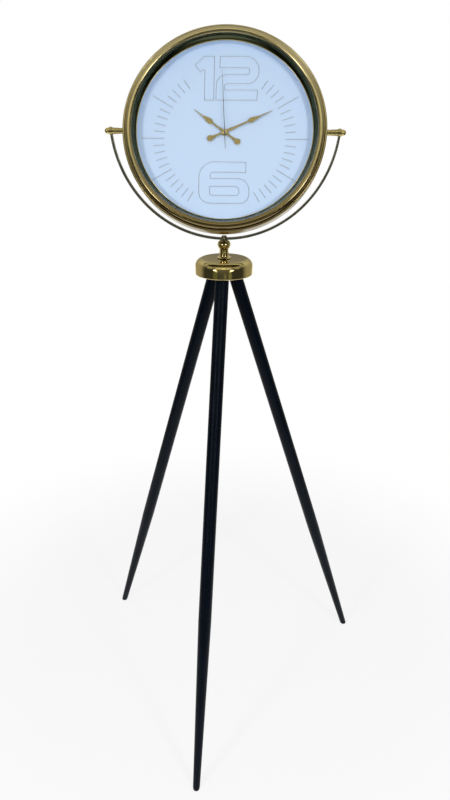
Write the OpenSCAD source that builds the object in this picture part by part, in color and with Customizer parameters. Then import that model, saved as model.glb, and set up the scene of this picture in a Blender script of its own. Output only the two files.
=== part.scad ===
// Tripod floor clock: a round clock that tilts in a flat-bar yoke, on a turned stem and three round legs.
// The origin is on the floor under the stem. The clock faces -Y and Z is up.

/* [Tripod] */
// Height of the hub's underside above the floor
hub_z = 1000; // [850:10:1150]
// Distance from the middle of the plan to a foot
foot_reach = 356; // [320:2:400]
// Distance from the stem's axis to a leg's axis at the hub's underside
leg_top_reach = 21.5; // [21:0.5:24]
// Turn of the front leg from straight ahead, an angle in degrees
front_leg_turn = -6; // [-30:1:30]
// Diameter of a leg above its taper
leg_d = 26.5; // [24:0.5:27]
// Diameter of a leg at the floor
foot_d = 14.5; // [10:0.5:18]
// Height at which a leg starts to taper
taper_z = 345; // [200:5:500]
// Thickness of the pad under a leg
pad_h = 3; // [2:0.5:5]
// Depth of the pad's edge inside the leg's surface
pad_inset = 0.6; // [0:0.2:1.5]
// Diameter of the bolt between a leg and the leg block
hanger_d = 8; // [6:0.5:10]
// Length of that bolt inside the leg
hanger_in_leg = 40; // [25:1:60]
// Length of that bolt inside the leg block
hanger_in_block = 8; // [6:0.5:10]

/* [Hub] */
// Outer diameter of the hub cover
hub_d = 112; // [108:1:130]
// Height of the hub cover
hub_h = 30; // [27:0.5:36]
// Rounding of the cover's top edge
hub_edge_r = 18; // [10:1:20]
// Rounding of the cover's turned-in lower edge
hub_lip_r = 4; // [3:0.5:5]
// Wall of the spun cover
hub_wall = 1.5; // [1:0.1:2]
// Height of the block's underside above the cover's lower edge
block_lift = 4; // [3:0.5:6]
// Height of the legs' flat ends above the cover's lower edge, on a leg's axis
leg_seat = 9; // [8:0.5:10]

/* [Stem] */
// Height of the stem between the hub and the washer under the yoke
stem_h = 34.2; // [33:0.2:60]
// Diameter of the stem's foot
stem_foot_d = 28; // [24:0.5:34]
// Thickness of the foot's edge
stem_foot_t = 1.6; // [1:0.2:3]
// Diameter of the stem's column
stem_d = 18; // [15:0.2:20]
// Width of the groove under the ball's collar
stem_groove_w = 1.2; // [0.8:0.2:2]
// Depth of that groove
stem_groove_depth = 1; // [0.4:0.2:1.6]
// Height of the ball's collar
collar_h = 5; // [3:0.5:7]
// Diameter of the ball
ball_d = 25; // [21:0.2:28]
// Height of the ball before its flat top
ball_h = 17.6; // [14:0.2:20]
// Width of the ball's flat top below its crown
ball_flat = 0.6; // [0.2:0.1:1.5]
// Diameter of the stud that joins the stem and the leg block
stem_stud_d = 8; // [6:0.5:8]
// Length of that stud inside the stem
stem_stud_up = 15; // [10:0.5:18]
// Length of that stud under the cover
stem_stud_down = 15; // [8:0.5:16]

/* [Yoke] */
// Distance from the side of the case to the middle of the yoke's flat bar
yoke_side_gap = 24; // [22:0.5:40]
// Height of the arc's centre above the tilt axis
yoke_rise = 16; // [8:0.5:16]
// Thickness of the yoke's flat bar
strap_t = 3.8; // [3:0.2:5]
// Width of that bar
strap_w = 10; // [8:0.5:12]
// Rounding of its long edges
strap_edge_r = 1; // [0.4:0.1:1.4]
// Diameter of the eye in the middle of the yoke
mid_eye_d = 13; // [12:0.5:18]
// Thickness of that eye
mid_eye_t = 4; // [3:0.2:6]
// Diameter of the eyes at the yoke's ends
end_eye_d = 14; // [12:0.5:18]
// Thickness of those eyes
end_eye_t = 4.7; // [4:0.1:6]
// How far round those eyes the inside of the bar is cut level with them
eye_flush = 1; // [0.5:0.5:3]
// Diameter of the stud on which the yoke swivels
swivel_d = 5; // [4:0.5:6]
// Length of that stud inside the stem
swivel_sink = 10; // [8:0.5:12]
// Thickness of the washer under the yoke
washer_t = 0.8; // [0.5:0.1:1.5]
// Diameter of the nut on top of the yoke
cap_nut_d = 10.4; // [9:0.2:12]
// Height of that nut
cap_nut_h = 3.6; // [3:0.2:4]
// Rounding of the nut's top edge
cap_nut_r = 1.6; // [0.8:0.2:2]

/* [Pivots] */
// Diameter of the tilt screws
pivot_d = 6; // [5:0.5:7]
// Diameter of the barrels between the case and the yoke, at the case
barrel_d = 9.8; // [9:0.2:13]
// Diameter of those barrels at the yoke
barrel_end_d = 11.8; // [10:0.2:14]
// Number of rings turned on a barrel
barrel_rings = 3; // [2:1:5]
// Depth of the grooves between the rings
barrel_groove = 0.5; // [0.3:0.1:0.8]
// Diameter of the collars on the screws' heads
pivot_head_d = 12; // [11:0.5:14]
// Thickness of those collars
pivot_collar_l = 2.4; // [1.6:0.2:3]
// Diameter of the domes outside the collars
pivot_dome_d = 10.6; // [8:0.2:12]
// Length of a head, collar and dome together
pivot_head_l = 9; // [8:0.5:12]
// Width and depth of the groove between a collar and its dome
pivot_groove = 0.8; // [0.5:0.1:1]
// Width across the corners of the nuts inside the case
pivot_nut_d = 11.5; // [10:0.5:13]
// Thickness of those nuts
pivot_nut_t = 4.8; // [4:0.2:6]
// Length of the screw past its nut
pivot_tail = 1.2; // [0.5:0.1:2]

/* [Case] */
// Tilt of the clock at rest, back from upright, an angle in degrees
case_tilt = 23; // [0:1:45]
// Diameter of the dial that shows through the bezel
sight_d = 311; // [280:1:340]
// Width of the slope between the glass and the bezel's bead
slope_w = 7; // [5:0.5:12]
// Width of the bezel's half-round bead
bead_w = 13; // [10:0.5:18]
// Height of the bead's straight sides above its seat
bead_rise = 9; // [6:0.5:12]
// Wall of the bezel
bezel_wall = 1.3; // [1:0.1:2]
// Thickness of the bezel's lip over the glass
lip_t = 1.2; // [0.8:0.1:2]
// Width of the rolled edge outside the bead
rim_w = 4.2; // [3:0.1:6]
// Height of that rolled edge above the bezel's seat
rim_rise = 9; // [4:0.5:12]
// Depth of the band behind the tilt axis
band_back = 9; // [8:0.5:14]
// Rounding of the band's rear edge
band_r = 4; // [3:0.5:5]
// Step from the band in to the drum
drum_step = 11; // [8:0.5:14]
// Depth of the drum's rear edge behind the tilt axis
drum_back = 32; // [30:1:60]
// Radius of the drum's rolled rear edge
drum_roll_r = 1.6; // [1.2:0.1:2]
// Wall of the spun case
case_wall = 1.6; // [1.2:0.1:2]
// Distance from the tilt axis forward to the back of the glass
glass_z = 7; // [6:0.5:12]
// Thickness of the glass
glass_t = 2.5; // [2:0.1:4]
// Width of the glass under the bezel's lip
glass_hold = 3; // [2:0.5:4]
// Distance from the back of the glass to the dial
dial_recess = 11; // [10:0.5:18]
// Thickness of the dial
dial_t = 2; // [1:0.2:3]
// Thickness of the back board
board_t = 4; // [3:0.2:6]
// Step of the spacer ring's inner edge behind the sight line
spacer_step = 0.7; // [0.3:0.1:2]
// Step of the ring's and the dial's outer edges inside the back board's edge
spacer_inset = 1; // [0.5:0.1:2]
// Number of long screws that clamp the case together
case_screw_n = 8; // [6:1:12]
// Diameter of those screws
case_screw_d = 3; // [2.5:0.1:3.5]
// Length of those screws in the bezel
case_screw_in = 3.4; // [2:0.2:4]
// Diameter of their heads
case_screw_head_d = 6.5; // [5:0.1:8]
// Height of their heads
case_screw_head_h = 2; // [1.4:0.1:3]

/* [Time shown] */
// Time shown, in whole hours
hour_shown = 10; // [0:1:11]
// Time shown, in whole minutes after the hour
minute_shown = 10; // [0:1:59]
// Time shown, in seconds after the minute
second_shown = 59.4; // [0:0.1:59.9]

/* [Hands] */
// Length of the hour hand
hour_l = 66; // [50:1:80]
// Distance from the shaft to the hour hand's leaf
hour_leaf = 35; // [25:1:45]
// Width of the hour hand's leaf
hour_leaf_w = 8.6; // [6:0.2:12]
// Length of the minute hand
minute_l = 93; // [80:1:125]
// Distance from the shaft to the minute hand's leaf
minute_leaf = 54; // [40:1:70]
// Width of the minute hand's leaf
minute_leaf_w = 7.6; // [5:0.2:12]
// Width of a hand's stalk
stalk_w = 2.4; // [1.6:0.2:4]
// Width of a hand's tip
tip_w = 0.8; // [0.6:0.1:1.5]
// Distance from the shaft to the disc on a hand's tail
tail_l = 28; // [20:1:35]
// Diameter of that disc
tail_d = 11; // [8:0.5:14]
// Diameter of the middle of the hour and minute hands
hand_eye_d = 10.5; // [9.5:0.5:14]
// Thickness of the hour and minute hands
hand_t = 0.6; // [0.4:0.1:1]
// Length of the second hand
second_l = 110; // [90:1:130]
// Length of the second hand's tail
second_tail = 30; // [20:1:40]
// Width of the second hand at its middle
second_w = 2; // [1.4:0.1:3]
// Thickness of the second hand
second_t = 0.4; // [0.3:0.1:0.6]
// Diameter of the second hand's boss
second_boss_d = 4.4; // [3.6:0.2:6]
// Height of the second hand's boss
second_boss_h = 1.6; // [1:0.1:2]
// Space between the nut on the dial and the hour hand
hand_lift = 0.7; // [0.5:0.1:1.2]
// Space between one hand and the next
hand_gap = 1.2; // [0.8:0.1:1.5]
// Diameter of the nut that holds the minute hand
hand_nut_d = 7.4; // [6:0.2:9]
// Thickness of that nut
hand_nut_t = 1.2; // [0.8:0.1:1.6]

/* [Movement] */
// Width and height of the movement's case
move_w = 56; // [56:1:60]
// Depth of the movement's case
move_depth = 16.5; // [16:0.5:20]
// Wall of the movement's case
move_wall = 1.5; // [1.2:0.1:2]
// Rounding of the movement case's corners
move_r = 3; // [1:0.5:5]
// Outer diameter of the threaded bush
bush_d = 8; // [8:0.5:10]
// Thickness of the nut on the bush
bush_nut_t = 1.8; // [1.2:0.1:2]
// Width across the corners of that nut
bush_nut_d = 13; // [12:0.5:15]
// Diameter of the seconds arbor
seconds_d = 1.3; // [1.2:0.05:1.4]
// Outer diameter of the minute tube
minute_d = 3.6; // [3.4:0.1:3.7]
// Outer diameter of the hour tube
hour_d = 5; // [5:0.1:5.2]
// Diameter of the posts and pins in the wheel train
post_d = 1; // [0.8:0.1:1.2]
// Thickness of a wheel
wheel_t = 0.8; // [0.6:0.1:1]
// Space between one wheel and the next
wheel_gap = 0.8; // [0.6:0.1:1]
// Diameter of the battery
battery_d = 14.2; // [14:0.1:14.4]
// Length of the battery without its button
battery_l = 48.6; // [48:0.1:49]
// Diameter of the set knob
knob_d = 11; // [8:0.5:14]
// Height of the set knob behind the movement
knob_h = 2.6; // [2:0.2:5]
// Number of ribs round the set knob
knob_ribs = 18; // [12:1:24]

/* [Clearances] */
// Radial gap of a running fit
run_fit = 0.06; // [0.03:0.01:0.1]
// Gap round a bolt, a stud or a screw
bolt_fit = 0.1; // [0.05:0.01:0.3]
// Gap between curved faces that don't touch
loose_fit = 0.3; // [0.2:0.05:0.5]

/* [Hidden] */

$fn = 96;
eps = 0.01;
// Length that a cutting solid runs past the face it cuts
past = 1;

// Tripod
splay = atan((foot_reach - leg_top_reach) / hub_z);
leg_end = (hub_z + leg_seat) / cos(splay);
taper_len = taper_z / cos(splay);
leg_turns = [front_leg_turn, front_leg_turn - 120, front_leg_turn + 120];

// Hub and stem, stacked from the floor up
hub_top = hub_z + hub_h;
block_r = hub_d / 2 - hub_lip_r - loose_fit;
block_top = hub_top - hub_wall;
stem_flare_r = (stem_foot_d - stem_d) / 2;
ball_z = stem_h + ball_flat - ball_h / 2;
groove_z = stem_h + ball_flat - ball_h - collar_h + ball_flat;
washer_z = hub_top + stem_h;
eye_z = washer_z + washer_t;
swivel_top = eye_z + mid_eye_t + cap_nut_h - cap_nut_r;

// Case radii, from the glass outward
sight_r = sight_d / 2;
bead_in_r = sight_r + slope_w;
bead_out_r = bead_in_r + bead_w;
case_r = bead_out_r + loose_fit + rim_w;
glass_r = sight_r + glass_hold;
screw_ring_r = (glass_r + loose_fit + bead_in_r + bezel_wall) / 2;
drum_r = case_r - drum_step;
drum_in_r = drum_r - case_wall;
board_r = drum_in_r - loose_fit;
spacer_in_r = sight_r + spacer_step;
spacer_r = board_r - spacer_inset;

// Case levels, measured forward from the tilt axis
glass_front = glass_z + glass_t;
seat_z = glass_z + case_wall;
bead_z = seat_z + bead_rise;
dial_z = glass_z - dial_recess;
board_z = dial_z - dial_t;
move_z = board_z - board_t;

// Yoke and tilt axis
yoke_r = case_r + yoke_side_gap;
pivot_z = eye_z + mid_eye_t / 2 + yoke_r - yoke_rise;
end_eye_x = sqrt(yoke_r * yoke_r - yoke_rise * yoke_rise) - end_eye_t / 2;
strap_end = asin((yoke_rise + end_eye_d / 4) / yoke_r);
barrel_x = case_r + loose_fit;
nut_x = case_r - case_wall - loose_fit - pivot_nut_t;

// Hand levels and angles
hour_hand_z = dial_z + bush_nut_t + hand_lift;
minute_hand_z = hour_hand_z + hand_t + hand_gap;
hand_nut_z = minute_hand_z + hand_t;
second_hand_z = hand_nut_z + hand_nut_t + hand_gap / 3;
second_turn = -6 * second_shown;
minute_turn = -6 * (minute_shown + second_shown / 60);
hour_turn = -30 * (hour_shown + (minute_shown + second_shown / 60) / 60);

// Wheel train: tooth counts, distances between arbors, and the modules that they give
rotor_n = 6;
inter_n = 30;
inter_pinion_n = 8;
seconds_n = 48;
seconds_pinion_n = 8;
third_n = 60;
third_pinion_n = 8;
centre_n = 64;
cannon_n = 12;
minute_n = 36;
minute_pinion_n = 10;
hour_n = 40;
set_n = 12;
third_reach = 10.8;
minute_reach = 12;
going_m = 0.3;
third_m = 2 * third_reach / (seconds_pinion_n + third_n);
centre_m = 2 * third_reach / (third_pinion_n + centre_n);
motion_m = 2 * minute_reach / (cannon_n + minute_n);
hour_m = 2 * minute_reach / (minute_pinion_n + hour_n);

// Wheel train: places of the arbors, seen from the front with the hand shaft in the middle
third_dir = 160;
minute_dir = 60;
set_dir = 30;
inter_dir = -35;
rotor_dir = 10;
third_at = polar(third_reach, third_dir);
minute_at = polar(minute_reach, minute_dir);
set_at = minute_at + polar(motion_m * (set_n + minute_n) / 2, set_dir);
inter_at = polar(going_m * (seconds_n + inter_pinion_n) / 2, inter_dir);
rotor_at = inter_at + polar(going_m * (inter_n + rotor_n) / 2, rotor_dir);

// Wheel train: levels behind the front wall of the movement
layer = wheel_t + wheel_gap;
train_front = move_z - move_wall - wheel_gap;
hour_level = train_front - wheel_t;
minute_level = hour_level - layer;
centre_level = minute_level - layer;
third_level = centre_level - layer;
seconds_level = third_level - layer;
inter_level = seconds_level - layer;
train_back = move_z - move_depth + move_wall;
rotor_len = inter_level - train_back - 2 * wheel_gap;
magnet_r = 2.6;
battery_y = -(move_w / 2 - move_wall - battery_d / 2 - loose_fit);
battery_z = move_z - move_depth + battery_d / 2 + loose_fit;
bay_wall_y = battery_y + battery_d / 2 + loose_fit;

// Tooth form, as shares of the module and of the pitch
tooth_out = 0.8;
tooth_in = 1.2;
tooth_tip = 0.10;
tooth_root = 0.26;

function polar(r, a) = [r * cos(a), r * sin(a)];

// Angle of a driven wheel's tooth, for a driver with a tooth on the line of centres
function meshed(dir, n) = dir + 180 + 180 / n;

// Outline of a toothed wheel, four points to a tooth, with the first tooth at angle a0
function teeth(n, m, a0) = [
    for (i = [0 : n - 1], k = [0 : 3])
        let (out = k == 1 || k == 2, half = (out ? tooth_tip : tooth_root) * (k < 2 ? -1 : 1))
        polar(m * (n / 2 + (out ? tooth_out : -tooth_in)), a0 + (i + half) * 360 / n)
];

// Places

module at_leg(turn) {
    rotate([0, 0, turn]) translate([0, -foot_reach, 0]) rotate([-splay, 0, 0]) children();
}

module at_case() {
    translate([0, 0, pivot_z]) rotate([90 - case_tilt, 0, 0]) children();
}

// Points +Z out of the case at its right (side = 1) or left (side = -1)
module at_pivot(side) {
    at_case() rotate([0, side * 90, 0]) children();
}

module ring(r_out, r_in, h) {
    rotate_extrude() translate([r_in, 0]) square([r_out - r_in, h]);
}

// Plate with one rounded corner, at its outer rear
module corner_plate(r_out, z_back, z_front, r) {
    translate([0, z_back + r]) square([r_out, z_front - z_back - r]);
    translate([0, z_back]) square([r_out - r, r + eps]);
    translate([r_out - r, z_back + r]) circle(r);
}

// Tripod

module leg_body() {
    translate([0, 0, -foot_d]) cylinder(h = foot_d + eps, d = foot_d);
    cylinder(h = taper_len, d1 = foot_d, d2 = leg_d);
    translate([0, 0, taper_len - eps]) cylinder(h = leg_end - taper_len + eps, d = leg_d);
}

module leg(turn) {
    color("#17181c") difference() {
        at_leg(turn) difference() {
            leg_body();
            translate([0, 0, leg_end - hanger_in_leg])
                cylinder(h = hanger_in_leg + past, d = hanger_d + 2 * bolt_fit);
        }
        translate([-hub_z, -hub_z, pad_h - hub_z]) cube([2 * hub_z, 2 * hub_z, hub_z]);
    }
}

module leg_front() leg(leg_turns[0]);
module leg_left() leg(leg_turns[1]);
module leg_right() leg(leg_turns[2]);

module foot_pads() {
    color("#101010") for (turn = leg_turns) intersection() {
        at_leg(turn) translate([0, 0, -foot_d]) cylinder(h = 2 * foot_d, d = foot_d - 2 * pad_inset);
        translate([-hub_z, -hub_z, 0]) cube([2 * hub_z, 2 * hub_z, pad_h]);
    }
}

module hanger_bolts() {
    color("#8d8f92") for (turn = leg_turns) at_leg(turn)
        translate([0, 0, leg_end - hanger_in_leg])
            cylinder(h = hanger_in_leg + hanger_in_block, d = hanger_d);
}

// Hub and stem

module leg_block() {
    height = block_top - hub_z - block_lift;
    color("#2a211a") difference() {
        translate([0, 0, hub_z + block_lift]) intersection() {
            cylinder(h = height, r = block_r);
            cylinder(h = height, r1 = block_r + hub_edge_r, r2 = block_r - hub_edge_r + hub_lip_r);
        }
        for (turn = leg_turns) at_leg(turn) {
            translate([0, 0, leg_end - leg_d]) cylinder(h = leg_d + 2 * eps, d = leg_d + 2 * bolt_fit);
            translate([0, 0, leg_end - leg_d])
                cylinder(h = leg_d + hanger_in_block + past, d = hanger_d + 2 * bolt_fit);
        }
        translate([0, 0, hub_top - stem_stud_down - past])
            cylinder(h = stem_stud_down + 2 * past, d = stem_stud_d + 2 * bolt_fit);
    }
}

module cover_outline(r, h, edge, lip) {
    square([r - edge, h]);
    translate([0, lip]) square([r, h - lip - edge]);
    square([r - lip, lip + eps]);
    translate([r - edge, h - edge]) circle(edge);
    translate([r - lip, lip]) circle(lip);
}

module hub_cover() {
    color("#c9a24b") translate([0, 0, hub_z]) rotate_extrude() difference() {
        intersection() {
            cover_outline(hub_d / 2, hub_h, hub_edge_r, hub_lip_r);
            square([hub_d, 2 * hub_h]);
        }
        translate([0, hub_wall]) cover_outline(hub_d / 2 - hub_wall, hub_h - 2 * hub_wall,
            hub_edge_r - hub_wall, hub_lip_r - hub_wall);
        square([hub_d / 2 - hub_lip_r, 2 * hub_wall]);
        square([stem_stud_d / 2 + bolt_fit, 2 * hub_h]);
    }
}

module stem_stud() {
    color("#8d8f92") translate([0, 0, hub_top - stem_stud_down])
        cylinder(h = stem_stud_down + stem_stud_up, d = stem_stud_d);
}

module stem_outline() {
    square([stem_foot_d / 2, stem_foot_t]);
    difference() {
        square([stem_foot_d / 2, stem_foot_t + stem_flare_r]);
        translate([stem_foot_d / 2, stem_foot_t + stem_flare_r]) circle(stem_flare_r);
    }
    square([stem_d / 2, groove_z - stem_groove_w]);
    square([stem_d / 2 - stem_groove_depth, groove_z + eps]);
    translate([0, groove_z]) square([stem_d / 2 - stem_groove_depth / 2, collar_h]);
    difference() {
        translate([(ball_d - ball_h) / 2, ball_z]) circle(ball_h / 2);
        translate([0, stem_h]) square([ball_d, ball_h]);
    }
    translate([0, ball_z - ball_h / 2]) square([(ball_d - ball_h) / 2, ball_h - ball_flat]);
}

module stem() {
    color("#c9a24b") translate([0, 0, hub_top]) difference() {
        rotate_extrude() intersection() {
            stem_outline();
            square([stem_foot_d, stem_h]);
        }
        translate([0, 0, -past]) cylinder(h = stem_stud_up + 2 * past, d = stem_stud_d + 2 * bolt_fit);
        translate([0, 0, stem_h - swivel_sink - past])
            cylinder(h = swivel_sink + 2 * past, d = swivel_d + 2 * bolt_fit);
    }
}

module swivel_washer() {
    color("#b8913f") translate([0, 0, washer_z])
        ring(mid_eye_d / 2, swivel_d / 2 + bolt_fit, washer_t);
}

module swivel_stud() {
    color("#8d8f92") translate([0, 0, washer_z - swivel_sink])
        cylinder(h = swivel_top - washer_z + swivel_sink, d = swivel_d);
}

module cap_nut() {
    color("#9a9478") translate([0, 0, eye_z + mid_eye_t]) difference() {
        rotate_extrude() {
            square([cap_nut_d / 2, cap_nut_h - cap_nut_r]);
            square([cap_nut_d / 2 - cap_nut_r, cap_nut_h]);
            intersection() {
                translate([cap_nut_d / 2 - cap_nut_r, cap_nut_h - cap_nut_r]) circle(cap_nut_r);
                square([cap_nut_d, cap_nut_h]);
            }
        }
        translate([0, 0, -past])
            cylinder(h = cap_nut_h - cap_nut_r + past + loose_fit / 2, d = swivel_d + 2 * bolt_fit);
    }
}

// Yoke and pivots

// Section of the yoke's bar, its thickness along X
module strap_section() {
    square([strap_t - 2 * strap_edge_r, strap_w], center = true);
    square([strap_t, strap_w - 2 * strap_edge_r], center = true);
    for (x = [-1, 1], y = [-1, 1])
        translate([x * (strap_t / 2 - strap_edge_r), y * (strap_w / 2 - strap_edge_r)]) circle(strap_edge_r);
}

module yoke() {
    color("#4a4436") difference() {
        union() {
            translate([0, 0, pivot_z + yoke_rise]) rotate([-90, 0, 0])
                rotate([0, 0, strap_end]) rotate_extrude(angle = 180 - 2 * strap_end)
                    translate([yoke_r, 0]) strap_section();
            translate([0, 0, eye_z]) cylinder(h = mid_eye_t, d = mid_eye_d);
            for (side = [-1, 1]) at_pivot(side)
                translate([0, 0, end_eye_x]) cylinder(h = end_eye_t, d = end_eye_d);
        }
        translate([0, 0, eye_z - past]) cylinder(h = mid_eye_t + 2 * past, d = swivel_d + 2 * run_fit);
        for (side = [-1, 1]) at_pivot(side) {
            translate([0, 0, end_eye_x - past])
                cylinder(h = end_eye_t + 2 * past, d = pivot_d + 2 * run_fit);
            translate([0, 0, end_eye_x - end_eye_t])
                cylinder(h = end_eye_t, d = end_eye_d + 2 * eye_flush);
        }
        for (z = [eye_z - mid_eye_d, eye_z + mid_eye_t]) translate([-mid_eye_d / 2, -mid_eye_d / 2, z])
            cube(mid_eye_d);
    }
}

module pivot_screw(side) {
    head_z = end_eye_x + end_eye_t;
    color("#c9a24b") at_pivot(side) {
        translate([0, 0, nut_x - pivot_tail]) cylinder(h = head_z - nut_x + pivot_tail + eps, d = pivot_d);
        translate([0, 0, head_z]) rotate_extrude() intersection() {
            union() {
                square([pivot_head_d / 2, pivot_collar_l]);
                square([pivot_dome_d / 2 - pivot_groove, pivot_head_l - pivot_dome_d / 2]);
                difference() {
                    translate([0, pivot_head_l - pivot_dome_d / 2]) circle(d = pivot_dome_d);
                    square([pivot_dome_d, pivot_collar_l + pivot_groove]);
                }
            }
            square([pivot_head_d, pivot_head_l]);
        }
    }
}

module pivot_screw_left() pivot_screw(-1);
module pivot_screw_right() pivot_screw(1);

module pivot_barrel(side) {
    length = end_eye_x - barrel_x;
    bore_r = pivot_d / 2 + bolt_fit;
    widening = (barrel_end_d - barrel_d) / 2;
    color("#c9a24b") at_pivot(side) translate([0, 0, barrel_x]) rotate_extrude() difference() {
        polygon([[bore_r, 0], [barrel_d / 2, 0], [barrel_end_d / 2, length], [bore_r, length]]);
        for (i = [1 : barrel_rings - 1]) let (share = i / barrel_rings)
            translate([barrel_d / 2 + widening * share + barrel_groove, length * share])
                circle(2 * barrel_groove);
    }
}

module pivot_barrel_left() pivot_barrel(-1);
module pivot_barrel_right() pivot_barrel(1);

module pivot_nuts() {
    color("#8d8f92") for (side = [-1, 1]) at_pivot(side) translate([0, 0, nut_x]) difference() {
        cylinder(h = pivot_nut_t, d = pivot_nut_d, $fn = 6);
        translate([0, 0, -past]) cylinder(h = pivot_nut_t + 2 * past, d = pivot_d + 2 * bolt_fit);
    }
}

// Case

module screw_ring(r) {
    for (i = [0 : case_screw_n - 1]) rotate([0, 0, (i + 0.5) * 360 / case_screw_n])
        translate([r, 0, 0]) children();
}

module case_drum() {
    roll_r = drum_roll_r;
    color("#c9a24b") at_case() difference() {
        rotate_extrude() {
            difference() {
                corner_plate(case_r, -band_back, seat_z, band_r);
                translate([0, -eps]) corner_plate(case_r - case_wall, case_wall - band_back, glass_z + eps,
                    band_r - case_wall);
                translate([0, -2 * band_back]) square([drum_in_r, 2 * band_back + glass_z]);
                translate([0, glass_z - eps]) square([glass_r + loose_fit, 2 * case_wall]);
            }
            translate([case_r - rim_w, seat_z - eps]) square([rim_w, rim_rise - rim_w / 2 + eps]);
            translate([case_r - rim_w / 2, seat_z + rim_rise - rim_w / 2]) circle(d = rim_w);
            translate([drum_in_r, -drum_back + roll_r])
                square([case_wall, drum_back - roll_r - band_back + case_wall]);
            translate([drum_in_r + roll_r, -drum_back + roll_r]) circle(roll_r);
        }
        screw_ring(screw_ring_r) cylinder(h = 2 * seat_z, d = case_screw_d + 2 * bolt_fit);
        for (side = [-1, 1]) rotate([0, side * 90, 0]) translate([0, 0, case_r - 3 * case_wall])
            cylinder(h = 6 * case_wall, d = pivot_d + 2 * bolt_fit);
    }
}

// Upright wall section with a half-round top
module arch(w, h) {
    square([w, h]);
    translate([w / 2, h]) circle(w / 2);
}

module front_bezel() {
    base_r = glass_r + loose_fit;
    rib_r = bead_in_r + bezel_wall;
    color("#c9a24b") at_case() difference() {
        rotate_extrude() difference() {
            union() {
                polygon([[base_r, glass_front], [base_r, seat_z], [rib_r, seat_z], [rib_r, bead_z - eps],
                    [bead_in_r, bead_z], [sight_r, glass_front + lip_t], [sight_r, glass_front]]);
                translate([bead_in_r, seat_z]) arch(bead_w, bead_rise);
            }
            translate([rib_r, seat_z - past]) arch(bead_w - 2 * bezel_wall, bead_rise + past);
        }
        screw_ring(screw_ring_r) translate([0, 0, seat_z - past])
            cylinder(h = past + case_screw_in + bolt_fit, d = case_screw_d + 2 * bolt_fit);
    }
}

module glass() {
    color("#dfe9ee") at_case() translate([0, 0, glass_z]) cylinder(h = glass_t, r = glass_r);
}

module spacer_ring() {
    color("#b9bec4") at_case() difference() {
        translate([0, 0, dial_z]) ring(spacer_r, spacer_in_r, dial_recess);
        screw_ring(screw_ring_r) translate([0, 0, dial_z - past])
            cylinder(h = dial_recess + 2 * past, d = case_screw_d + 2 * bolt_fit);
    }
}

module dial() {
    color("#dfe8f2") at_case() difference() {
        translate([0, 0, board_z]) ring(spacer_r, bush_d / 2 + bolt_fit, dial_t);
        screw_ring(screw_ring_r) translate([0, 0, board_z - past])
            cylinder(h = dial_t + 2 * past, d = case_screw_d + 2 * bolt_fit);
    }
}

module back_board() {
    color("#3a2c20") at_case() difference() {
        translate([0, 0, move_z]) ring(board_r, bush_d / 2 + bolt_fit, board_t);
        screw_ring(screw_ring_r) translate([0, 0, move_z - past])
            cylinder(h = board_t + 2 * past, d = case_screw_d + 2 * bolt_fit);
    }
}

module case_screws() {
    length = seat_z + case_screw_in - move_z;
    head_h = case_screw_head_h;
    color("#8d8f92") at_case() screw_ring(screw_ring_r) difference() {
        union() {
            translate([0, 0, move_z]) cylinder(h = length, d = case_screw_d);
            translate([0, 0, move_z - head_h])
                cylinder(h = head_h, d1 = case_screw_head_d - head_h, d2 = case_screw_head_d);
        }
        for (turn = [0, 90]) rotate([0, 0, turn]) translate([0, 0, move_z - head_h])
            cube([case_screw_head_d / 2, case_screw_d / 4, head_h], center = true);
    }
}

// Movement

module move_block(back, front) {
    translate([0, 0, back]) linear_extrude(front - back) {
        square([move_w - 2 * move_r, move_w], center = true);
        square([move_w, move_w - 2 * move_r], center = true);
        for (x = [-1, 1], y = [-1, 1]) translate([x, y] * (move_w / 2 - move_r)) circle(move_r);
    }
}

// Room for the wheels, or for the battery, inside the walls
module train_room(back, front) {
    top = move_w / 2 - move_wall;
    translate([-top, bay_wall_y + move_wall, back])
        cube([2 * top, top - bay_wall_y - move_wall, front - back]);
}

module battery_bay(back, front) {
    half = move_w / 2 - move_wall;
    translate([-half, -half, back]) cube([2 * half, bay_wall_y + half, front - back]);
}

module post(at, back, front) {
    translate([at[0], at[1], back]) cylinder(h = front - back, d = post_d);
}

module movement_case() {
    bay_floor = battery_z + battery_d / 2 + loose_fit;
    color("#1d1d1f") at_case() {
        difference() {
            union() {
                move_block(train_back, move_z);
                translate([0, 0, move_z - eps]) cylinder(h = dial_z + bush_nut_t - move_z, d = bush_d);
            }
            train_room(train_back - past, move_z - move_wall);
            battery_bay(train_back - past, bay_floor);
            translate([0, 0, move_z - 2 * move_wall])
                cylinder(h = dial_z - move_z + 2 * bush_nut_t + 2 * move_wall, d = hour_d + 2 * run_fit);
        }
        post(minute_at, minute_level - wheel_gap / 2, move_z - move_wall + eps);
    }
}

module movement_cover() {
    back = move_z - move_depth;
    color("#1d1d1f") at_case() {
        difference() {
            move_block(back, train_back);
            battery_bay(back - past, train_back + past);
            translate([0, 0, back - past]) cylinder(h = move_wall + 2 * past, d = seconds_d + 2 * run_fit);
            translate([set_at[0], set_at[1], back - past])
                cylinder(h = move_wall + 2 * past, d = knob_d / 2 + 2 * run_fit);
        }
        post(third_at, train_back - eps, centre_level + wheel_t + wheel_gap / 2);
        post(inter_at, train_back - eps, seconds_level + wheel_t + wheel_gap / 4);
        post(rotor_at, train_back - eps, inter_level + wheel_t + wheel_gap / 4);
    }
}

module bush_nut() {
    color("#c9a24b") at_case() translate([0, 0, dial_z]) difference() {
        cylinder(h = bush_nut_t, d = bush_nut_d, $fn = 6);
        translate([0, 0, -past]) cylinder(h = bush_nut_t + 2 * past, d = bush_d + 2 * bolt_fit);
    }
}

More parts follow.
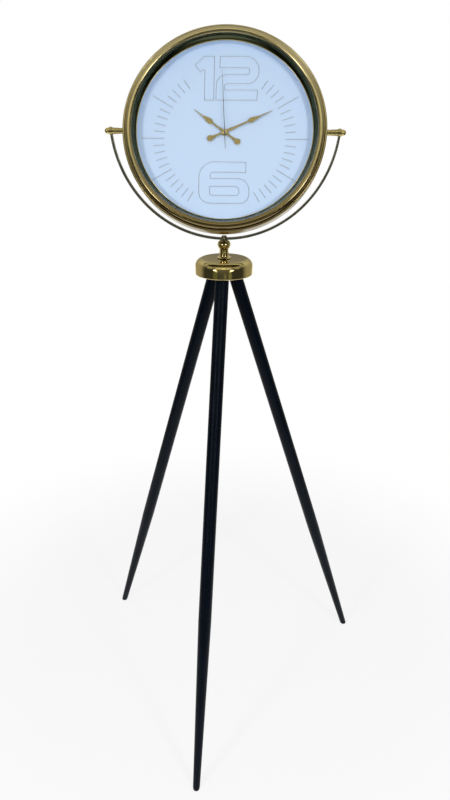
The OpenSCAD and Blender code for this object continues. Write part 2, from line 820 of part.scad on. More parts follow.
module battery() {
    button_d = 5.5;
    button_l = 1;
    start_x = -(battery_l + button_l) / 2;
    color("#7c8288") at_case() translate([start_x, battery_y, battery_z]) rotate([0, 90, 0]) {
        cylinder(h = battery_l, d = battery_d);
        translate([0, 0, battery_l - eps]) cylinder(h = button_l + eps, d = button_d);
    }
}

module battery_contacts() {
    leaf_t = 0.4;
    leaf_w = 8;
    half = move_w / 2 - move_wall;
    color("#c8ccd0") at_case() for (side = [-1, 1])
        translate([side * (half - leaf_t / 2), battery_y, battery_z])
            cube([leaf_t, leaf_w, leaf_w], center = true);
}

module circuit_board() {
    board_x = -24;
    board_w = 23;
    board_h = 13;
    board_y = 11;
    t = 1;
    chip_d = 7;
    can_d = 2;
    can_l = 6;
    lift = t + wheel_gap;
    color("#2f6b3a") at_case() translate([board_x, board_y, train_back]) {
        cube([board_w, board_h, t]);
        translate([board_w / 3, board_h / 2, t - eps]) cylinder(h = t, d = chip_d);
        translate([board_w - can_d, board_h / 4, lift]) rotate([-90, 0, 0]) cylinder(h = can_l, d = can_d);
    }
}

module stator() {
    t = 1.2;
    magnet_gap = 0.5;
    arm_w = 9;
    reach = 12.2;
    z = train_back + (rotor_len - t) / 2 + wheel_gap;
    color("#8d8f92") at_arbor(rotor_at) difference() {
        translate([-arm_w / 2, -arm_w / 2, z]) cube([arm_w / 2 + reach, arm_w, t]);
        translate([0, 0, z - past]) cylinder(h = t + 2 * past, r = magnet_r + magnet_gap);
    }
}

module coil() {
    coil_d = 6;
    coil_l = 11;
    flange_d = 7.6;
    flange_t = 1;
    aside = 10;
    above = 5;
    lift = train_back + flange_d / 2 + loose_fit;
    color("#9c4f25") at_arbor(rotor_at) translate([aside, above, lift]) rotate([-90, 0, 0]) {
        cylinder(h = coil_l, d = coil_d);
        for (z = [0, coil_l - flange_t]) translate([0, 0, z]) cylinder(h = flange_t, d = flange_d);
    }
}

// Toothed wheel with a round bore, its first tooth at angle a0
module wheel(n, m, a0, bore_d, z) {
    translate([0, 0, z]) difference() {
        linear_extrude(wheel_t) polygon(teeth(n, m, a0));
        translate([0, 0, -past]) cylinder(h = wheel_t + 2 * past, d = bore_d);
    }
}

module at_arbor(at) {
    at_case() translate([at[0], at[1], 0]) children();
}

module rotor() {
    bore = post_d + 2 * run_fit;
    magnet_top = train_back + wheel_gap + rotor_len;
    color("#55585c") at_arbor(rotor_at) {
        wheel(rotor_n, going_m, rotor_dir + 180, bore, inter_level);
        translate([0, 0, train_back + wheel_gap]) difference() {
            cylinder(h = rotor_len, r = magnet_r);
            translate([0, 0, -past]) cylinder(h = rotor_len + 2 * past, d = bore);
        }
        translate([0, 0, magnet_top - eps])
            ring(going_m * rotor_n / 2, bore / 2, inter_level - magnet_top + 2 * eps);
    }
}

module intermediate_wheel() {
    bore = post_d + 2 * run_fit;
    color("#d8d4c4") at_arbor(inter_at) {
        wheel(inter_n, going_m, meshed(rotor_dir + 180, inter_n), bore, inter_level);
        wheel(inter_pinion_n, going_m, inter_dir + 180, bore, seconds_level);
        translate([0, 0, inter_level + wheel_t - eps]) ring(post_d, bore / 2, wheel_gap + 2 * eps);
    }
}

module seconds_wheel() {
    arbor_back = move_z - move_depth + move_wall / 4;
    color("#d8d4c4") at_case() {
        wheel(seconds_n, going_m, meshed(inter_dir + 180, seconds_n), seconds_d - eps, seconds_level);
        wheel(seconds_pinion_n, third_m, third_dir, seconds_d - eps, third_level);
        translate([0, 0, seconds_level + wheel_t - eps])
            ring(seconds_d, seconds_d / 2 - eps, wheel_gap + 2 * eps);
        translate([0, 0, arbor_back])
            cylinder(h = second_hand_z + second_boss_h - arbor_back, d = seconds_d);
    }
}

module third_wheel() {
    bore = post_d + 2 * run_fit;
    color("#d8d4c4") at_arbor(third_at) {
        wheel(third_n, third_m, meshed(third_dir, third_n), bore, third_level);
        wheel(third_pinion_n, centre_m, third_dir + 180, bore, centre_level);
        translate([0, 0, third_level + wheel_t - eps]) ring(post_d, bore / 2, wheel_gap + 2 * eps);
    }
}

module centre_wheel() {
    bore = seconds_d + 2 * run_fit;
    tube_top = hand_nut_z + hand_nut_t;
    color("#d8d4c4") at_case() {
        wheel(centre_n, centre_m, meshed(third_dir + 180, centre_n), bore, centre_level);
        wheel(cannon_n, motion_m, minute_dir, bore, minute_level);
        translate([0, 0, centre_level + wheel_t - eps])
            ring(minute_d / 2, bore / 2, tube_top - centre_level - wheel_t + eps);
    }
}

module minute_wheel() {
    bore = post_d + 2 * run_fit;
    color("#d8d4c4") at_arbor(minute_at) {
        wheel(minute_n, motion_m, meshed(minute_dir, minute_n), bore, minute_level);
        wheel(minute_pinion_n, hour_m, minute_dir + 180, bore, hour_level);
        translate([0, 0, minute_level + wheel_t - eps]) ring(post_d, bore / 2, wheel_gap + 2 * eps);
    }
}

module hour_wheel() {
    bore = minute_d + 2 * run_fit;
    color("#d8d4c4") at_case() {
        wheel(hour_n, hour_m, meshed(minute_dir + 180, hour_n), bore, hour_level);
        translate([0, 0, hour_level + wheel_t - eps])
            ring(hour_d / 2, bore / 2, hour_hand_z + hand_t - hour_level - wheel_t + eps);
    }
}

module set_knob() {
    back = move_z - move_depth;
    pitch = 360 / set_n;
    // Turn of the minute wheel's nearest tooth away from the line to the knob
    offset_tooth = (set_dir - meshed(minute_dir, minute_n)) * minute_n / set_n;
    color("#2b2b2d") at_arbor(set_at) {
        translate([0, 0, minute_level]) linear_extrude(wheel_t)
            polygon(teeth(set_n, motion_m, set_dir + 180 + pitch / 2 + offset_tooth));
        translate([0, 0, back - eps]) cylinder(h = minute_level - back + 2 * eps, d = knob_d / 2);
        translate([0, 0, back - knob_h]) difference() {
            cylinder(h = knob_h, d = knob_d);
            for (i = [0 : knob_ribs - 1]) rotate([0, 0, i * 360 / knob_ribs])
                translate([knob_d / 2 + knob_d / 40, 0, -past])
                    cylinder(h = knob_h + 2 * past, d = knob_d / 12);
        }
    }
}

// Hands

// Half width of a hand's leaf, from its start (u = 0) to its end (u = 1), fullest before the middle
function leaf_half(u, leaf_w) = stalk_w / 2 + (leaf_w - stalk_w) / 2 * pow(sin(180 * pow(u, 1.15)), 1.3);

// Half of a hand's outline, from the shaft along the stalk and round the leaf to the tip
function hand_side(length, leaf, leaf_w) = [
    [stalk_w * 0.75, 0], [stalk_w / 2, leaf * 0.35], [stalk_w / 2, leaf * 0.6],
    for (i = [0 : 8]) let (u = i / 8) [leaf_half(u, leaf_w), leaf * (0.6 + 0.62 * u)],
    [tip_w / 2, length]
];

module hand_outline(length, leaf, leaf_w) {
    side = hand_side(length, leaf, leaf_w);
    stalk = stalk_w / 2;
    polygon([for (p = side) p, for (i = [len(side) - 1 : -1 : 0]) [-side[i][0], side[i][1]]]);
    circle(d = hand_eye_d);
    polygon([[-tail_d / 3, -tail_l], [tail_d / 3, -tail_l], [stalk, stalk_w], [-stalk, stalk_w]]);
    translate([0, -tail_l]) circle(d = tail_d);
}

module hand(turn, z, length, leaf, leaf_w, tube_d) {
    color("#b08d3e") at_case() rotate([0, 0, turn]) translate([0, 0, z]) difference() {
        linear_extrude(hand_t) hand_outline(length, leaf, leaf_w);
        translate([0, 0, -past]) cylinder(h = hand_t + 2 * past, d = tube_d + bolt_fit);
    }
}

module hour_hand() hand(hour_turn, hour_hand_z, hour_l, hour_leaf, hour_leaf_w, hour_d);
module minute_hand() hand(minute_turn, minute_hand_z, minute_l, minute_leaf, minute_leaf_w, minute_d);

module hand_nut() {
    color("#c9a24b") at_case() translate([0, 0, hand_nut_z])
        ring(hand_nut_d / 2, minute_d / 2 + bolt_fit / 2, hand_nut_t);
}

module second_hand() {
    color("#b08d3e") at_case() rotate([0, 0, second_turn]) translate([0, 0, second_hand_z]) difference() {
        union() {
            linear_extrude(second_t) polygon([[-tip_w / 2, -second_tail], [tip_w / 2, -second_tail],
                [second_w / 2, 0], [tip_w / 4, second_l], [-tip_w / 4, second_l], [-second_w / 2, 0]]);
            cylinder(h = second_boss_h, d = second_boss_d);
        }
        translate([0, 0, -past]) cylinder(h = second_boss_h + 2 * past, d = seconds_d + bolt_fit / 2);
    }
}

leg_front();
leg_left();
leg_right();
foot_pads();
hanger_bolts();
leg_block();
hub_cover();
stem_stud();
stem();
swivel_washer();
swivel_stud();
cap_nut();
yoke();
pivot_screw_left();
pivot_screw_right();
pivot_barrel_left();
pivot_barrel_right();
pivot_nuts();
case_drum();
front_bezel();
glass();
spacer_ring();
dial();
back_board();
case_screws();
movement_case();
movement_cover();
bush_nut();
battery();
battery_contacts();
circuit_board();
stator();
coil();
rotor();
intermediate_wheel();
seconds_wheel();
third_wheel();
centre_wheel();
minute_wheel();
hour_wheel();
set_knob();
hour_hand();
minute_hand();
hand_nut();
second_hand();
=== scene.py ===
"""Dresses the tripod floor clock: finishes, turned brass, printed dial, hands, lamps and camera."""

import logging
import math
from collections.abc import Sequence
from dataclasses import dataclass
from enum import Enum

import bmesh
import bpy
from mathutils import Matrix, Vector


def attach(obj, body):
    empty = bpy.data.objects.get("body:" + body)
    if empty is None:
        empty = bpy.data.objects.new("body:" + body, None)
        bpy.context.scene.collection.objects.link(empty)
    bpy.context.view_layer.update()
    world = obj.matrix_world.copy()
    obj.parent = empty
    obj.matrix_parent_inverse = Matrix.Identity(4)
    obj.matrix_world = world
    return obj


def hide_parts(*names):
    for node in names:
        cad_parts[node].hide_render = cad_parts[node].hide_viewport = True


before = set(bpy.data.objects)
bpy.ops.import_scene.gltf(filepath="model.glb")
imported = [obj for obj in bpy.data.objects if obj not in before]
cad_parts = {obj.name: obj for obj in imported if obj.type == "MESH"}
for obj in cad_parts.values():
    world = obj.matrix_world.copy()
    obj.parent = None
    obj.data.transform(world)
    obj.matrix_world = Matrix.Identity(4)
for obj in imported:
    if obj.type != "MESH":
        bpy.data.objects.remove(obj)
log = logging.getLogger("floor_clock")

MM = 0.001
ON_AXIS = 1e-4  # a radius below this, in millimetres, is a point on the axis
TINY = 1e-6  # a length or a sine below this counts as none
ARC_STEP = 9  # widest step of a rounded corner, in degrees
MOST_REACH = 0.4999  # largest share of a side that one rounded corner takes
SIDES = (("left", -1), ("right", 1))
Colour = tuple[float, float, float]
Point = tuple[float, float]
Corner = tuple[float, float, float]
Spot = tuple[float, float, float]
Socket = bpy.types.NodeSocket
Value = float | Colour | Vector | Socket


class Slot(Enum):
    """Material slots of the record that the new pieces belong to."""

    LEG = "black_leg"
    BRASS = "polished_brass"
    BRONZE = "bronze_rod"
    GLASS = "clear_glass"
    RING = "ring_paint"
    DIAL = "dial_paint"
    HAND = "hand_brass"


class Grain(Enum):
    """Fine relief of a surface: the stretch of its pattern along X, Y and Z."""

    EVEN = (1.0, 1.0, 1.0)
    WOOD = (1.0, 1.0, 0.06)
    ROLLED = (0.15, 1.0, 1.0)


def feed(node: bpy.types.Node, inputs: dict[str | int, Value]) -> bpy.types.Node:
    """Sets or links inputs of a shader node.

    Args:
        node: The node.
        inputs: Number, vector, colour or socket for each input.

    Returns:
        The node.
    """
    for key, value in inputs.items():
        socket = node.inputs[key]
        if isinstance(value, Socket):
            node.id_data.links.new(value, socket)
        else:
            socket.default_value = (*value, 1.0) if socket.type == "RGBA" else value
    return node


def add_node(tree: bpy.types.NodeTree, kind: str, inputs: dict[str | int, Value] | None = None,
             **options: str) -> bpy.types.Node:
    """Adds a shader node, sets its options and feeds it.

    Args:
        tree: Node tree that it joins.
        kind: Kind of node, without the ShaderNode in front.
        inputs: Number, vector, colour or socket for each input.
        options: Options such as its operation.

    Returns:
        The node.
    """
    node = tree.nodes.new(f"ShaderNode{kind}")
    for name, option in options.items():
        setattr(node, name, option)
    return feed(node, inputs or {})


def noise(coords: Socket, size_mm: float, detail: float,
          stretch: tuple[float, float, float] = Grain.EVEN.value) -> Socket:
    """Adds a noise pattern of the given size.

    Args:
        coords: Coordinates that the pattern follows.
        size_mm: Size of one patch of the pattern.
        detail: Number of finer layers.
        stretch: Scale of the coordinates along each axis.

    Returns:
        The pattern's value.
    """
    mapping = add_node(coords.id_data, "Mapping", {"Vector": coords, "Scale": stretch})
    pattern = {"Vector": mapping.outputs["Vector"], "Scale": 1.0 / (size_mm * MM), "Detail": detail}
    return add_node(coords.id_data, "TexNoise", pattern).outputs["Fac"]


def spread(value: Socket, low: float, high: float, out_low: float = 0.0, out_high: float = 1.0,
           rise: str = "LINEAR") -> Socket:
    """Spreads a value over a range.

    Args:
        value: The value to spread.
        low: Value that becomes out_low.
        high: Value that becomes out_high.
        out_low: Lowest result.
        out_high: Highest result.
        rise: Way that the result rises, LINEAR or SMOOTHSTEP.

    Returns:
        The spread value.
    """
    span = {"Value": value, "From Min": low, "From Max": high, "To Min": out_low, "To Max": out_high}
    return add_node(value.id_data, "MapRange", span, interpolation_type=rise).outputs["Result"]


def blend(share: Socket, first: Value, second: Value, kind: str = "MIX") -> Socket:
    """Blends two colours.

    Args:
        share: Share of the second colour.
        first: First colour, or the socket that gives it.
        second: Second colour, or its socket.
        kind: Way of blending, MIX or ADD.

    Returns:
        The blended colour.
    """
    colours = {"Factor": share, "A": first, "B": second}
    return add_node(share.id_data, "Mix", colours, data_type="RGBA", blend_type=kind).outputs["Result"]


def join(operation: str, one: Socket, other: Socket) -> Socket:
    """Joins two values by a math operation, such as MAXIMUM."""
    return add_node(one.id_data, "Math", {0: one, 1: other}, operation=operation).outputs["Value"]


@dataclass(frozen=True)
class Finish:
    """One surface finish: its colours, gloss, relief, wear and any painted shade.

    Attributes:
        name: Name of the material.
        colour: Main colour, linear.
        drift: Colour that the main one drifts to in soft patches.
        metallic: 1 for bare metal, 0 for anything else.
        roughness: Roughness where the surface is cleanest.
        haze: Roughness added in handled and hazy patches.
        patch_mm: Size of the soft patches.
        grain: Kind of fine relief.
        grain_mm: Size of the fine relief.
        relief: Strength of the fine relief.
        specular: Strength of the mirror reflection of bare paint and plastic.
        wear: Colour of small scuffs, or None for none.
        wear_share: Share of the surface with scuffs.
        low_painted_shade: Painted shade: colour that the finish darkens to towards the bottom of the piece,
            standing in for the darker light there, or None for none.
    """

    name: str
    colour: Colour
    drift: Colour
    metallic: float = 0.0
    roughness: float = 0.4
    haze: float = 0.1
    patch_mm: float = 60.0
    grain: Grain = Grain.EVEN
    grain_mm: float = 1.0
    relief: float = 0.05
    specular: float = 0.5
    wear: Colour | None = None
    wear_share: float = 0.0
    low_painted_shade: Colour | None = None

    def _worn_and_shaded_colour(self, place: bpy.types.NodeOutputs) -> Socket:
        """Lays the soft patches, the scuffs and the painted shade low on the piece over each other.

        Args:
            place: Outputs of the node that gives the places on the piece.

        Returns:
            The colour.
        """
        patch_low, patch_high = 0.32, 0.68
        scuff_edge, scuff_gain, scuff_soft, scuff_stretch = 0.72, 0.3, 0.05, (1.0, 1.0, 0.4)
        painted_shade_top, painted_shade_foot = 0.55, 0.02
        coords = place["Object"]
        patches = noise(coords, self.patch_mm, detail=4.0)
        colour = blend(spread(patches, patch_low, patch_high), self.colour, self.drift)
        if self.wear is not None:
            scuffs = noise(coords, self.patch_mm / 6, detail=8.0, stretch=scuff_stretch)
            edge = scuff_edge - scuff_gain * self.wear_share
            colour = blend(spread(scuffs, edge, edge + scuff_soft), colour, self.wear)
        # painted shade: the colour darkens towards the bottom of the piece, in place of the darker
        # reflections there
        if self.low_painted_shade is not None:
            height = add_node(coords.id_data, "SeparateXYZ", {0: place["Generated"]}).outputs["Z"]
            colour = blend(spread(height, painted_shade_top, painted_shade_foot), colour, self.low_painted_shade)
        return colour

    def material(self) -> bpy.types.Material:
        """Makes the material, or returns the one made before.

        Returns:
            The Blender material.
        """
        made = bpy.data.materials.get(self.name)
        if made is not None:
            return made
        made = bpy.data.materials.new(self.name)
        made.use_nodes = True
        tree = made.node_tree
        place = add_node(tree, "TexCoord").outputs
        mark_low, mark_high = 0.4, 0.7
        marks = noise(place["Object"], self.patch_mm / 3, detail=6.0)
        relief = noise(place["Object"], self.grain_mm, detail=3.0, stretch=self.grain.value)
        bump = add_node(tree, "Bump", {
            "Strength": self.relief, "Distance": self.grain_mm * MM, "Height": relief})
        feed(tree.nodes["Principled BSDF"], {
            "Base Color": self._worn_and_shaded_colour(place), "Metallic": self.metallic,
            "Roughness": spread(marks, mark_low, mark_high, self.roughness, self.roughness + self.haze),
            "Normal": bump.outputs["Normal"], "Specular IOR Level": self.specular})
        return made


@dataclass(frozen=True)
class ClearGlass:
    """Flat clear glass that lets the lamps' light through to the dial.

    Attributes:
        name: Name of the material.
        tint: Tint of what shines through it, linear.
        body: How solid it looks.
        index: Its refractive index.
        dust_mm: Size of its dusty patches.
        dust: Roughness of those patches.
    """

    name: str = "clear_flat_glass"
    tint: Colour = (0.93, 0.98, 0.96)
    body: float = 0.14
    index: float = 1.5
    dust_mm: float = 1000 / 30
    dust: float = 0.05

    def material(self) -> bpy.types.Material:
        """Makes the glass.

        Returns:
            The Blender material.
        """
        made = bpy.data.materials.get(self.name) or bpy.data.materials.new(self.name)
        made.use_nodes = True
        tree = made.node_tree
        dust_low, dust_high = 0.4, 0.8
        dusty = noise(add_node(tree, "TexCoord").outputs["Object"], self.dust_mm, detail=6.0)
        feed(tree.nodes["Principled BSDF"], {
            "Base Color": self.tint, "Roughness": spread(dusty, dust_low, dust_high, 0.0, self.dust),
            "Transmission Weight": 1.0, "IOR": self.index, "Alpha": self.body})
        return made


POLISHED_BRASS = Finish(
    "mirror_brass", (0.74, 0.62, 0.30), (0.66, 0.55, 0.25), metallic=1.0, roughness=0.025, haze=0.05,
    patch_mm=45, grain_mm=9.0, relief=0.006, wear=(0.42, 0.35, 0.18), wear_share=0.05)
STEM_BRASS = Finish(
    "polished_stem_brass", (0.80, 0.67, 0.34), (0.70, 0.58, 0.28), metallic=1.0, roughness=0.15, haze=0.05,
    patch_mm=20, grain_mm=2.0, relief=0.006, wear=(0.50, 0.40, 0.20), wear_share=0.05)
# The case's brass carries painted shade that darkens its lower part, in place of the darker reflections
# there.
CASE_BRASS = Finish(
    "satin_case_brass", (0.62, 0.54, 0.33), (0.54, 0.47, 0.27), metallic=1.0, roughness=0.17, haze=0.08,
    patch_mm=60, grain_mm=9.0, relief=0.006, wear=(0.44, 0.37, 0.20), wear_share=0.05,
    low_painted_shade=(0.25, 0.19, 0.085))
# Painted reflection: the slope's brass is coloured near black and olive in place of the dark surroundings it
# mirrors.
DARK_REFLECTION_SLOPE = Finish(
    "slope_brass_painted_dark", (0.074, 0.084, 0.046), (0.050, 0.058, 0.032), metallic=1.0, roughness=0.03,
    haze=0.04, patch_mm=40, grain_mm=8.0, relief=0.006)
AGED_NUT = Finish(
    "aged_brass_nut", (0.42, 0.40, 0.28), (0.30, 0.29, 0.20), metallic=1.0, roughness=0.22, haze=0.12,
    patch_mm=6, grain_mm=0.6, relief=0.05)
AGED_BRASS = Finish(
    "aged_brass_pivot", (0.60, 0.50, 0.24), (0.50, 0.43, 0.20), metallic=1.0, roughness=0.12, haze=0.08,
    patch_mm=9, grain_mm=0.7, relief=0.03, wear=(0.40, 0.33, 0.16), wear_share=0.06)
HAND_BRASS = Finish(
    "satin_hand_brass", (0.46, 0.37, 0.17), (0.38, 0.31, 0.15), metallic=1.0, roughness=0.26, haze=0.10,
    patch_mm=14, grain=Grain.ROLLED, grain_mm=0.5, relief=0.05)
DARK_STEEL = Finish(
    "dark_second_hand", (0.16, 0.18, 0.20), (0.11, 0.12, 0.14), metallic=1.0, roughness=0.35, haze=0.08,
    patch_mm=20, grain=Grain.ROLLED, grain_mm=0.5, relief=0.04)
DARK_BRONZE = Finish(
    "dark_bronzed_rod", (0.27, 0.27, 0.21), (0.19, 0.19, 0.15), metallic=0.9, roughness=0.28, haze=0.14,
    patch_mm=26, grain_mm=0.8, relief=0.06, wear=(0.20, 0.16, 0.08), wear_share=0.10)
BLACK_SATIN = Finish(
    "black_satin_leg", (0.0008, 0.0026, 0.0068), (0.0018, 0.0050, 0.0106), roughness=0.34, haze=0.10,
    patch_mm=70, grain=Grain.WOOD, grain_mm=2.2, relief=0.05, specular=0.10, wear=(0.006, 0.011, 0.019),
    wear_share=0.06)
SOFT_RUBBER = Finish(
    "foot_rubber", (0.012, 0.012, 0.012), (0.020, 0.020, 0.020), roughness=0.75, haze=0.1, patch_mm=8,
    grain_mm=0.5, relief=0.15)
ZINC_STEEL = Finish(
    "zinc_plated_steel", (0.56, 0.57, 0.58), (0.47, 0.47, 0.46), metallic=1.0, roughness=0.28, haze=0.16,
    patch_mm=9, grain=Grain.ROLLED, grain_mm=0.6, relief=0.08)
STAINED_WOOD = Finish(
    "stained_turned_wood", (0.060, 0.036, 0.022), (0.035, 0.021, 0.014), roughness=0.5, haze=0.15,
    patch_mm=18, grain=Grain.WOOD, grain_mm=1.6, relief=0.25)
DIAL_PAINT = Finish(
    "pale_blue_dial", (0.575, 0.72, 0.925), (0.56, 0.70, 0.91), roughness=0.42, haze=0.06, patch_mm=120,
    grain_mm=0.7, relief=0.012)
DIAL_INK = Finish(
    "grey_dial_ink", (0.075, 0.095, 0.125), (0.095, 0.115, 0.145), roughness=0.55, haze=0.06, patch_mm=20,
    grain_mm=0.4, relief=0.02)
RING_PAINT = Finish(
    "pale_ring_paint", (0.50, 0.62, 0.80), (0.46, 0.58, 0.76), roughness=0.45, haze=0.08, patch_mm=80,
    grain_mm=0.7, relief=0.03)
FIBREBOARD = Finish(
    "dark_fibreboard", (0.085, 0.062, 0.044), (0.060, 0.043, 0.031), roughness=0.72, haze=0.12, patch_mm=5,
    grain_mm=0.9, relief=0.35, wear=(0.14, 0.105, 0.078), wear_share=0.10)
MOULDED_BLACK = Finish(
    "moulded_black", (0.014, 0.014, 0.015), (0.022, 0.022, 0.023), roughness=0.42, haze=0.14, patch_mm=12,
    grain_mm=0.35, relief=0.20)
BATTERY_SKIN = Finish(
    "battery_sleeve", (0.075, 0.080, 0.085), (0.055, 0.058, 0.062), metallic=0.6, roughness=0.30, haze=0.10,
    patch_mm=16, grain_mm=0.6, relief=0.03)
NICKEL = Finish(
    "nickel_plate", (0.66, 0.65, 0.62), (0.58, 0.57, 0.53), metallic=1.0, roughness=0.16, haze=0.12,
    patch_mm=8, grain=Grain.ROLLED, grain_mm=0.5, relief=0.04)
CIRCUIT_GREEN = Finish(
    "circuit_green", (0.03, 0.16, 0.06), (0.02, 0.12, 0.05), roughness=0.36, haze=0.1, patch_mm=6,
    grain_mm=0.5, relief=0.06)
COPPER_COIL = Finish(
    "enamelled_copper", (0.42, 0.17, 0.08), (0.34, 0.13, 0.06), metallic=0.7, roughness=0.3, haze=0.1,
    patch_mm=4, grain=Grain.ROLLED, grain_mm=0.3, relief=0.3)
WHEEL_PLASTIC = Finish(
    "moulded_wheel", (0.72, 0.70, 0.62), (0.66, 0.64, 0.56), roughness=0.38, haze=0.1, patch_mm=6,
    grain_mm=0.3, relief=0.06)


def rounded(corners: Sequence[Corner]) -> list[Point]:
    """Rounds the corners of a closed outline.

    Args:
        corners: X, Y and rounding radius of each corner, in millimetres.

    Returns:
        The points of the rounded outline, in millimetres.
    """
    out: list[Point] = []
    for i, (x, y, radius) in enumerate(corners):
        if radius <= 0:
            out.append((x, y))
            continue
        here = Vector((x, y))
        before = Vector(corners[i - 1][:2]) - here
        after = Vector(corners[(i + 1) % len(corners)][:2]) - here
        bend = before.angle(after)
        sweep = math.pi - bend
        reach = min(radius / math.tan(bend / 2), MOST_REACH * before.length, MOST_REACH * after.length)
        back, ahead = before.normalized(), after.normalized()
        start, end = here + back * reach, here + ahead * reach
        fillet = reach * math.tan(bend / 2)
        centre = here + (back + ahead).normalized() * (fillet / math.sin(bend / 2))
        first, last = start - centre, end - centre
        steps = max(3, math.ceil(math.degrees(sweep) / ARC_STEP))
        for k in range(steps + 1):
            t = k / steps
            if abs(math.sin(sweep)) > TINY:
                arm = (first * math.sin((1 - t) * sweep) + last * math.sin(t * sweep)) / math.sin(sweep)
            else:
                arm = first.lerp(last, t)
            out.append((centre.x + arm.x, centre.y + arm.y))
    return out


def arc(centre: Point, radius: float, first: float, last: float, steps: int) -> list[Point]:
    """Points along an arc.

    Args:
        centre: Centre of the arc.
        radius: Radius of the arc.
        first: First angle, in degrees.
        last: Last angle, in degrees.
        steps: Number of steps from the first angle to the last.

    Returns:
        The points, both ends included.
    """
    angles = [math.radians(first + (last - first) * k / steps) for k in range(steps + 1)]
    return [(centre[0] + radius * math.cos(a), centre[1] + radius * math.sin(a)) for a in angles]


class Blank:
    """A mesh under work, which is shaped step by step and then dressed."""

    def __init__(self, name: str) -> None:
        """Starts an empty mesh.

        Args:
            name: Name of the finished piece.
        """
        self.name = name
        self.mesh = bmesh.new()

    def turned(self, outline: Sequence[Point], place: Matrix, around: int, closed: bool = True) -> "Blank":
        """Turns an outline about the place's Z axis.

        Args:
            outline: Radius and height of each point, in millimetres.
            place: Where the axis stands.
            around: Number of steps round the axis.
            closed: True if the outline comes back to its first point.

        Returns:
            The blank.
        """
        rings = []
        for radius, height in outline:
            if radius < ON_AXIS:
                rings.append([self.mesh.verts.new(place @ Vector((0, 0, height * MM)))] * around)
                continue
            rings.append([
                self.mesh.verts.new(place @ Vector((radius * MM * math.cos(a), radius * MM * math.sin(a),
                                                    height * MM)))
                for a in (math.tau * k / around for k in range(around))])
        pairs = list(zip(rings, rings[1:]))
        if closed:
            pairs.append((rings[-1], rings[0]))
        self._bridge(pairs, around)
        return self

    def _bridge(self, pairs: Sequence[tuple[list, list]], around: int) -> None:
        """Joins pairs of rings with faces.

        Args:
            pairs: Neighbouring rings of vertices.
            around: Number of vertices in a ring.
        """
        for low, high in pairs:
            for k in range(around):
                j = (k + 1) % around
                loop = list(dict.fromkeys((low[k], low[j], high[j], high[k])))
                if len(loop) > 2:
                    self.mesh.faces.new(loop)

    def bent_bar(self, centre: Vector, radius: float, section: Sequence[Point], first: float, last: float,
                 steps: int) -> "Blank":
        """Bends a bar of even section into an arc that stands upright across the clock.

        Args:
            centre: Centre of the arc, in metres.
            radius: Radius of the bar's middle line, in millimetres.
            section: Outline of the section: distance outward and distance along Y, in millimetres.
            first: Angle of its first end, in degrees.
            last: Angle of its other end.
            steps: Number of steps along the arc.

        Returns:
            The blank.
        """
        rows = []
        for k in range(steps + 1):
            turn = math.radians(first + (last - first) * k / steps)
            out = Vector((math.cos(turn), 0, math.sin(turn)))
            rows.append([self.mesh.verts.new(centre + (out * (radius + u) + Vector((0, v, 0))) * MM)
                         for u, v in section])
        self._bridge(list(zip(rows, rows[1:])), len(section))
        self.mesh.faces.new(rows[0][::-1])
        self.mesh.faces.new(rows[-1])
        return self

    def bar(self, stations: Sequence[Point], low: float, high: float, crown: float, place: Matrix) -> "Blank":
        """Makes a flat bar that is symmetric about Y, with a crowned top.

        Args:
            stations: Distance along Y and half width of the bar there, in millimetres.
            low: Height of its flat back.
            high: Height of its top edges.
            crown: How far its middle line stands above the edges.
            place: Where it lies.

        Returns:
            The blank.
        """
        shoulder_out, shoulder_up = 0.55, crown * 0.7
        rows = []
        for along, half in stations:
            shoulder = half * shoulder_out
            section = ((-half, low), (half, low), (half, high), (shoulder, high + shoulder_up),
                       (0.0, high + crown), (-shoulder, high + shoulder_up), (-half, high))
            rows.append([self.mesh.verts.new(place @ (Vector((x, along, z)) * MM)) for x, z in section])
        self._bridge(list(zip(rows, rows[1:])), len(rows[0]))
        self.mesh.faces.new(rows[0][::-1])
        self.mesh.faces.new(rows[-1])
        return self

    def line(self, points: Sequence[Point], width: float, low: float, high: float, place: Matrix,
             closed: bool) -> "Blank":
        """Draws a line of even width, slightly raised.

        Args:
            points: Points on the middle of the line, in millimetres.
            width: Width of the line.
            low: Height of its foot.
            high: Height of its face.
            place: Where the surface lies.
            closed: True for a line that comes back to its first point.

        Returns:
            The blank.
        """
        flat = [Vector(p) for p in points]
        sharpest = 0.35
        rows = []
        for i, here in enumerate(flat):
            before = flat[i - 1] if closed or i else here
            after = flat[(i + 1) % len(flat)] if closed or i + 1 < len(flat) else here
            came, goes = here - before, after - here
            two = goes.normalized() if goes.length > TINY else came.normalized()
            one = came.normalized() if came.length > TINY else two
            side = Vector((-(one + two).y, (one + two).x)).normalized()
            lean = max(sharpest, side.dot(Vector((-two.y, two.x))))
            arm = side * (width / 2 / lean)
            section = ((here - arm, low), (here + arm, low), (here + arm, high), (here - arm, high))
            rows.append([self.mesh.verts.new(place @ (Vector((p.x, p.y, z)) * MM)) for p, z in section])
        pairs = list(zip(rows, rows[1:]))
        if closed:
            pairs.append((rows[-1], rows[0]))
        self._bridge(pairs, 4)
        if not closed:
            self.mesh.faces.new(rows[0][::-1])
            self.mesh.faces.new(rows[-1])
        return self

    def cut_below(self, height: float) -> "Blank":
        """Cuts off what lies below a level height and closes the cut.

        Args:
            height: Height of the cut above the floor, in millimetres.

        Returns:
            The blank.
        """
        geometry = [*self.mesh.verts, *self.mesh.edges, *self.mesh.faces]
        cut = bmesh.ops.bisect_plane(self.mesh, geom=geometry, plane_co=(0, 0, height * MM),
                                     plane_no=(0, 0, 1), clear_inner=True)
        edges = [e for e in cut["geom_cut"] if isinstance(e, bmesh.types.BMEdge)]
        bmesh.ops.contextual_create(self.mesh, geom=edges)
        return self

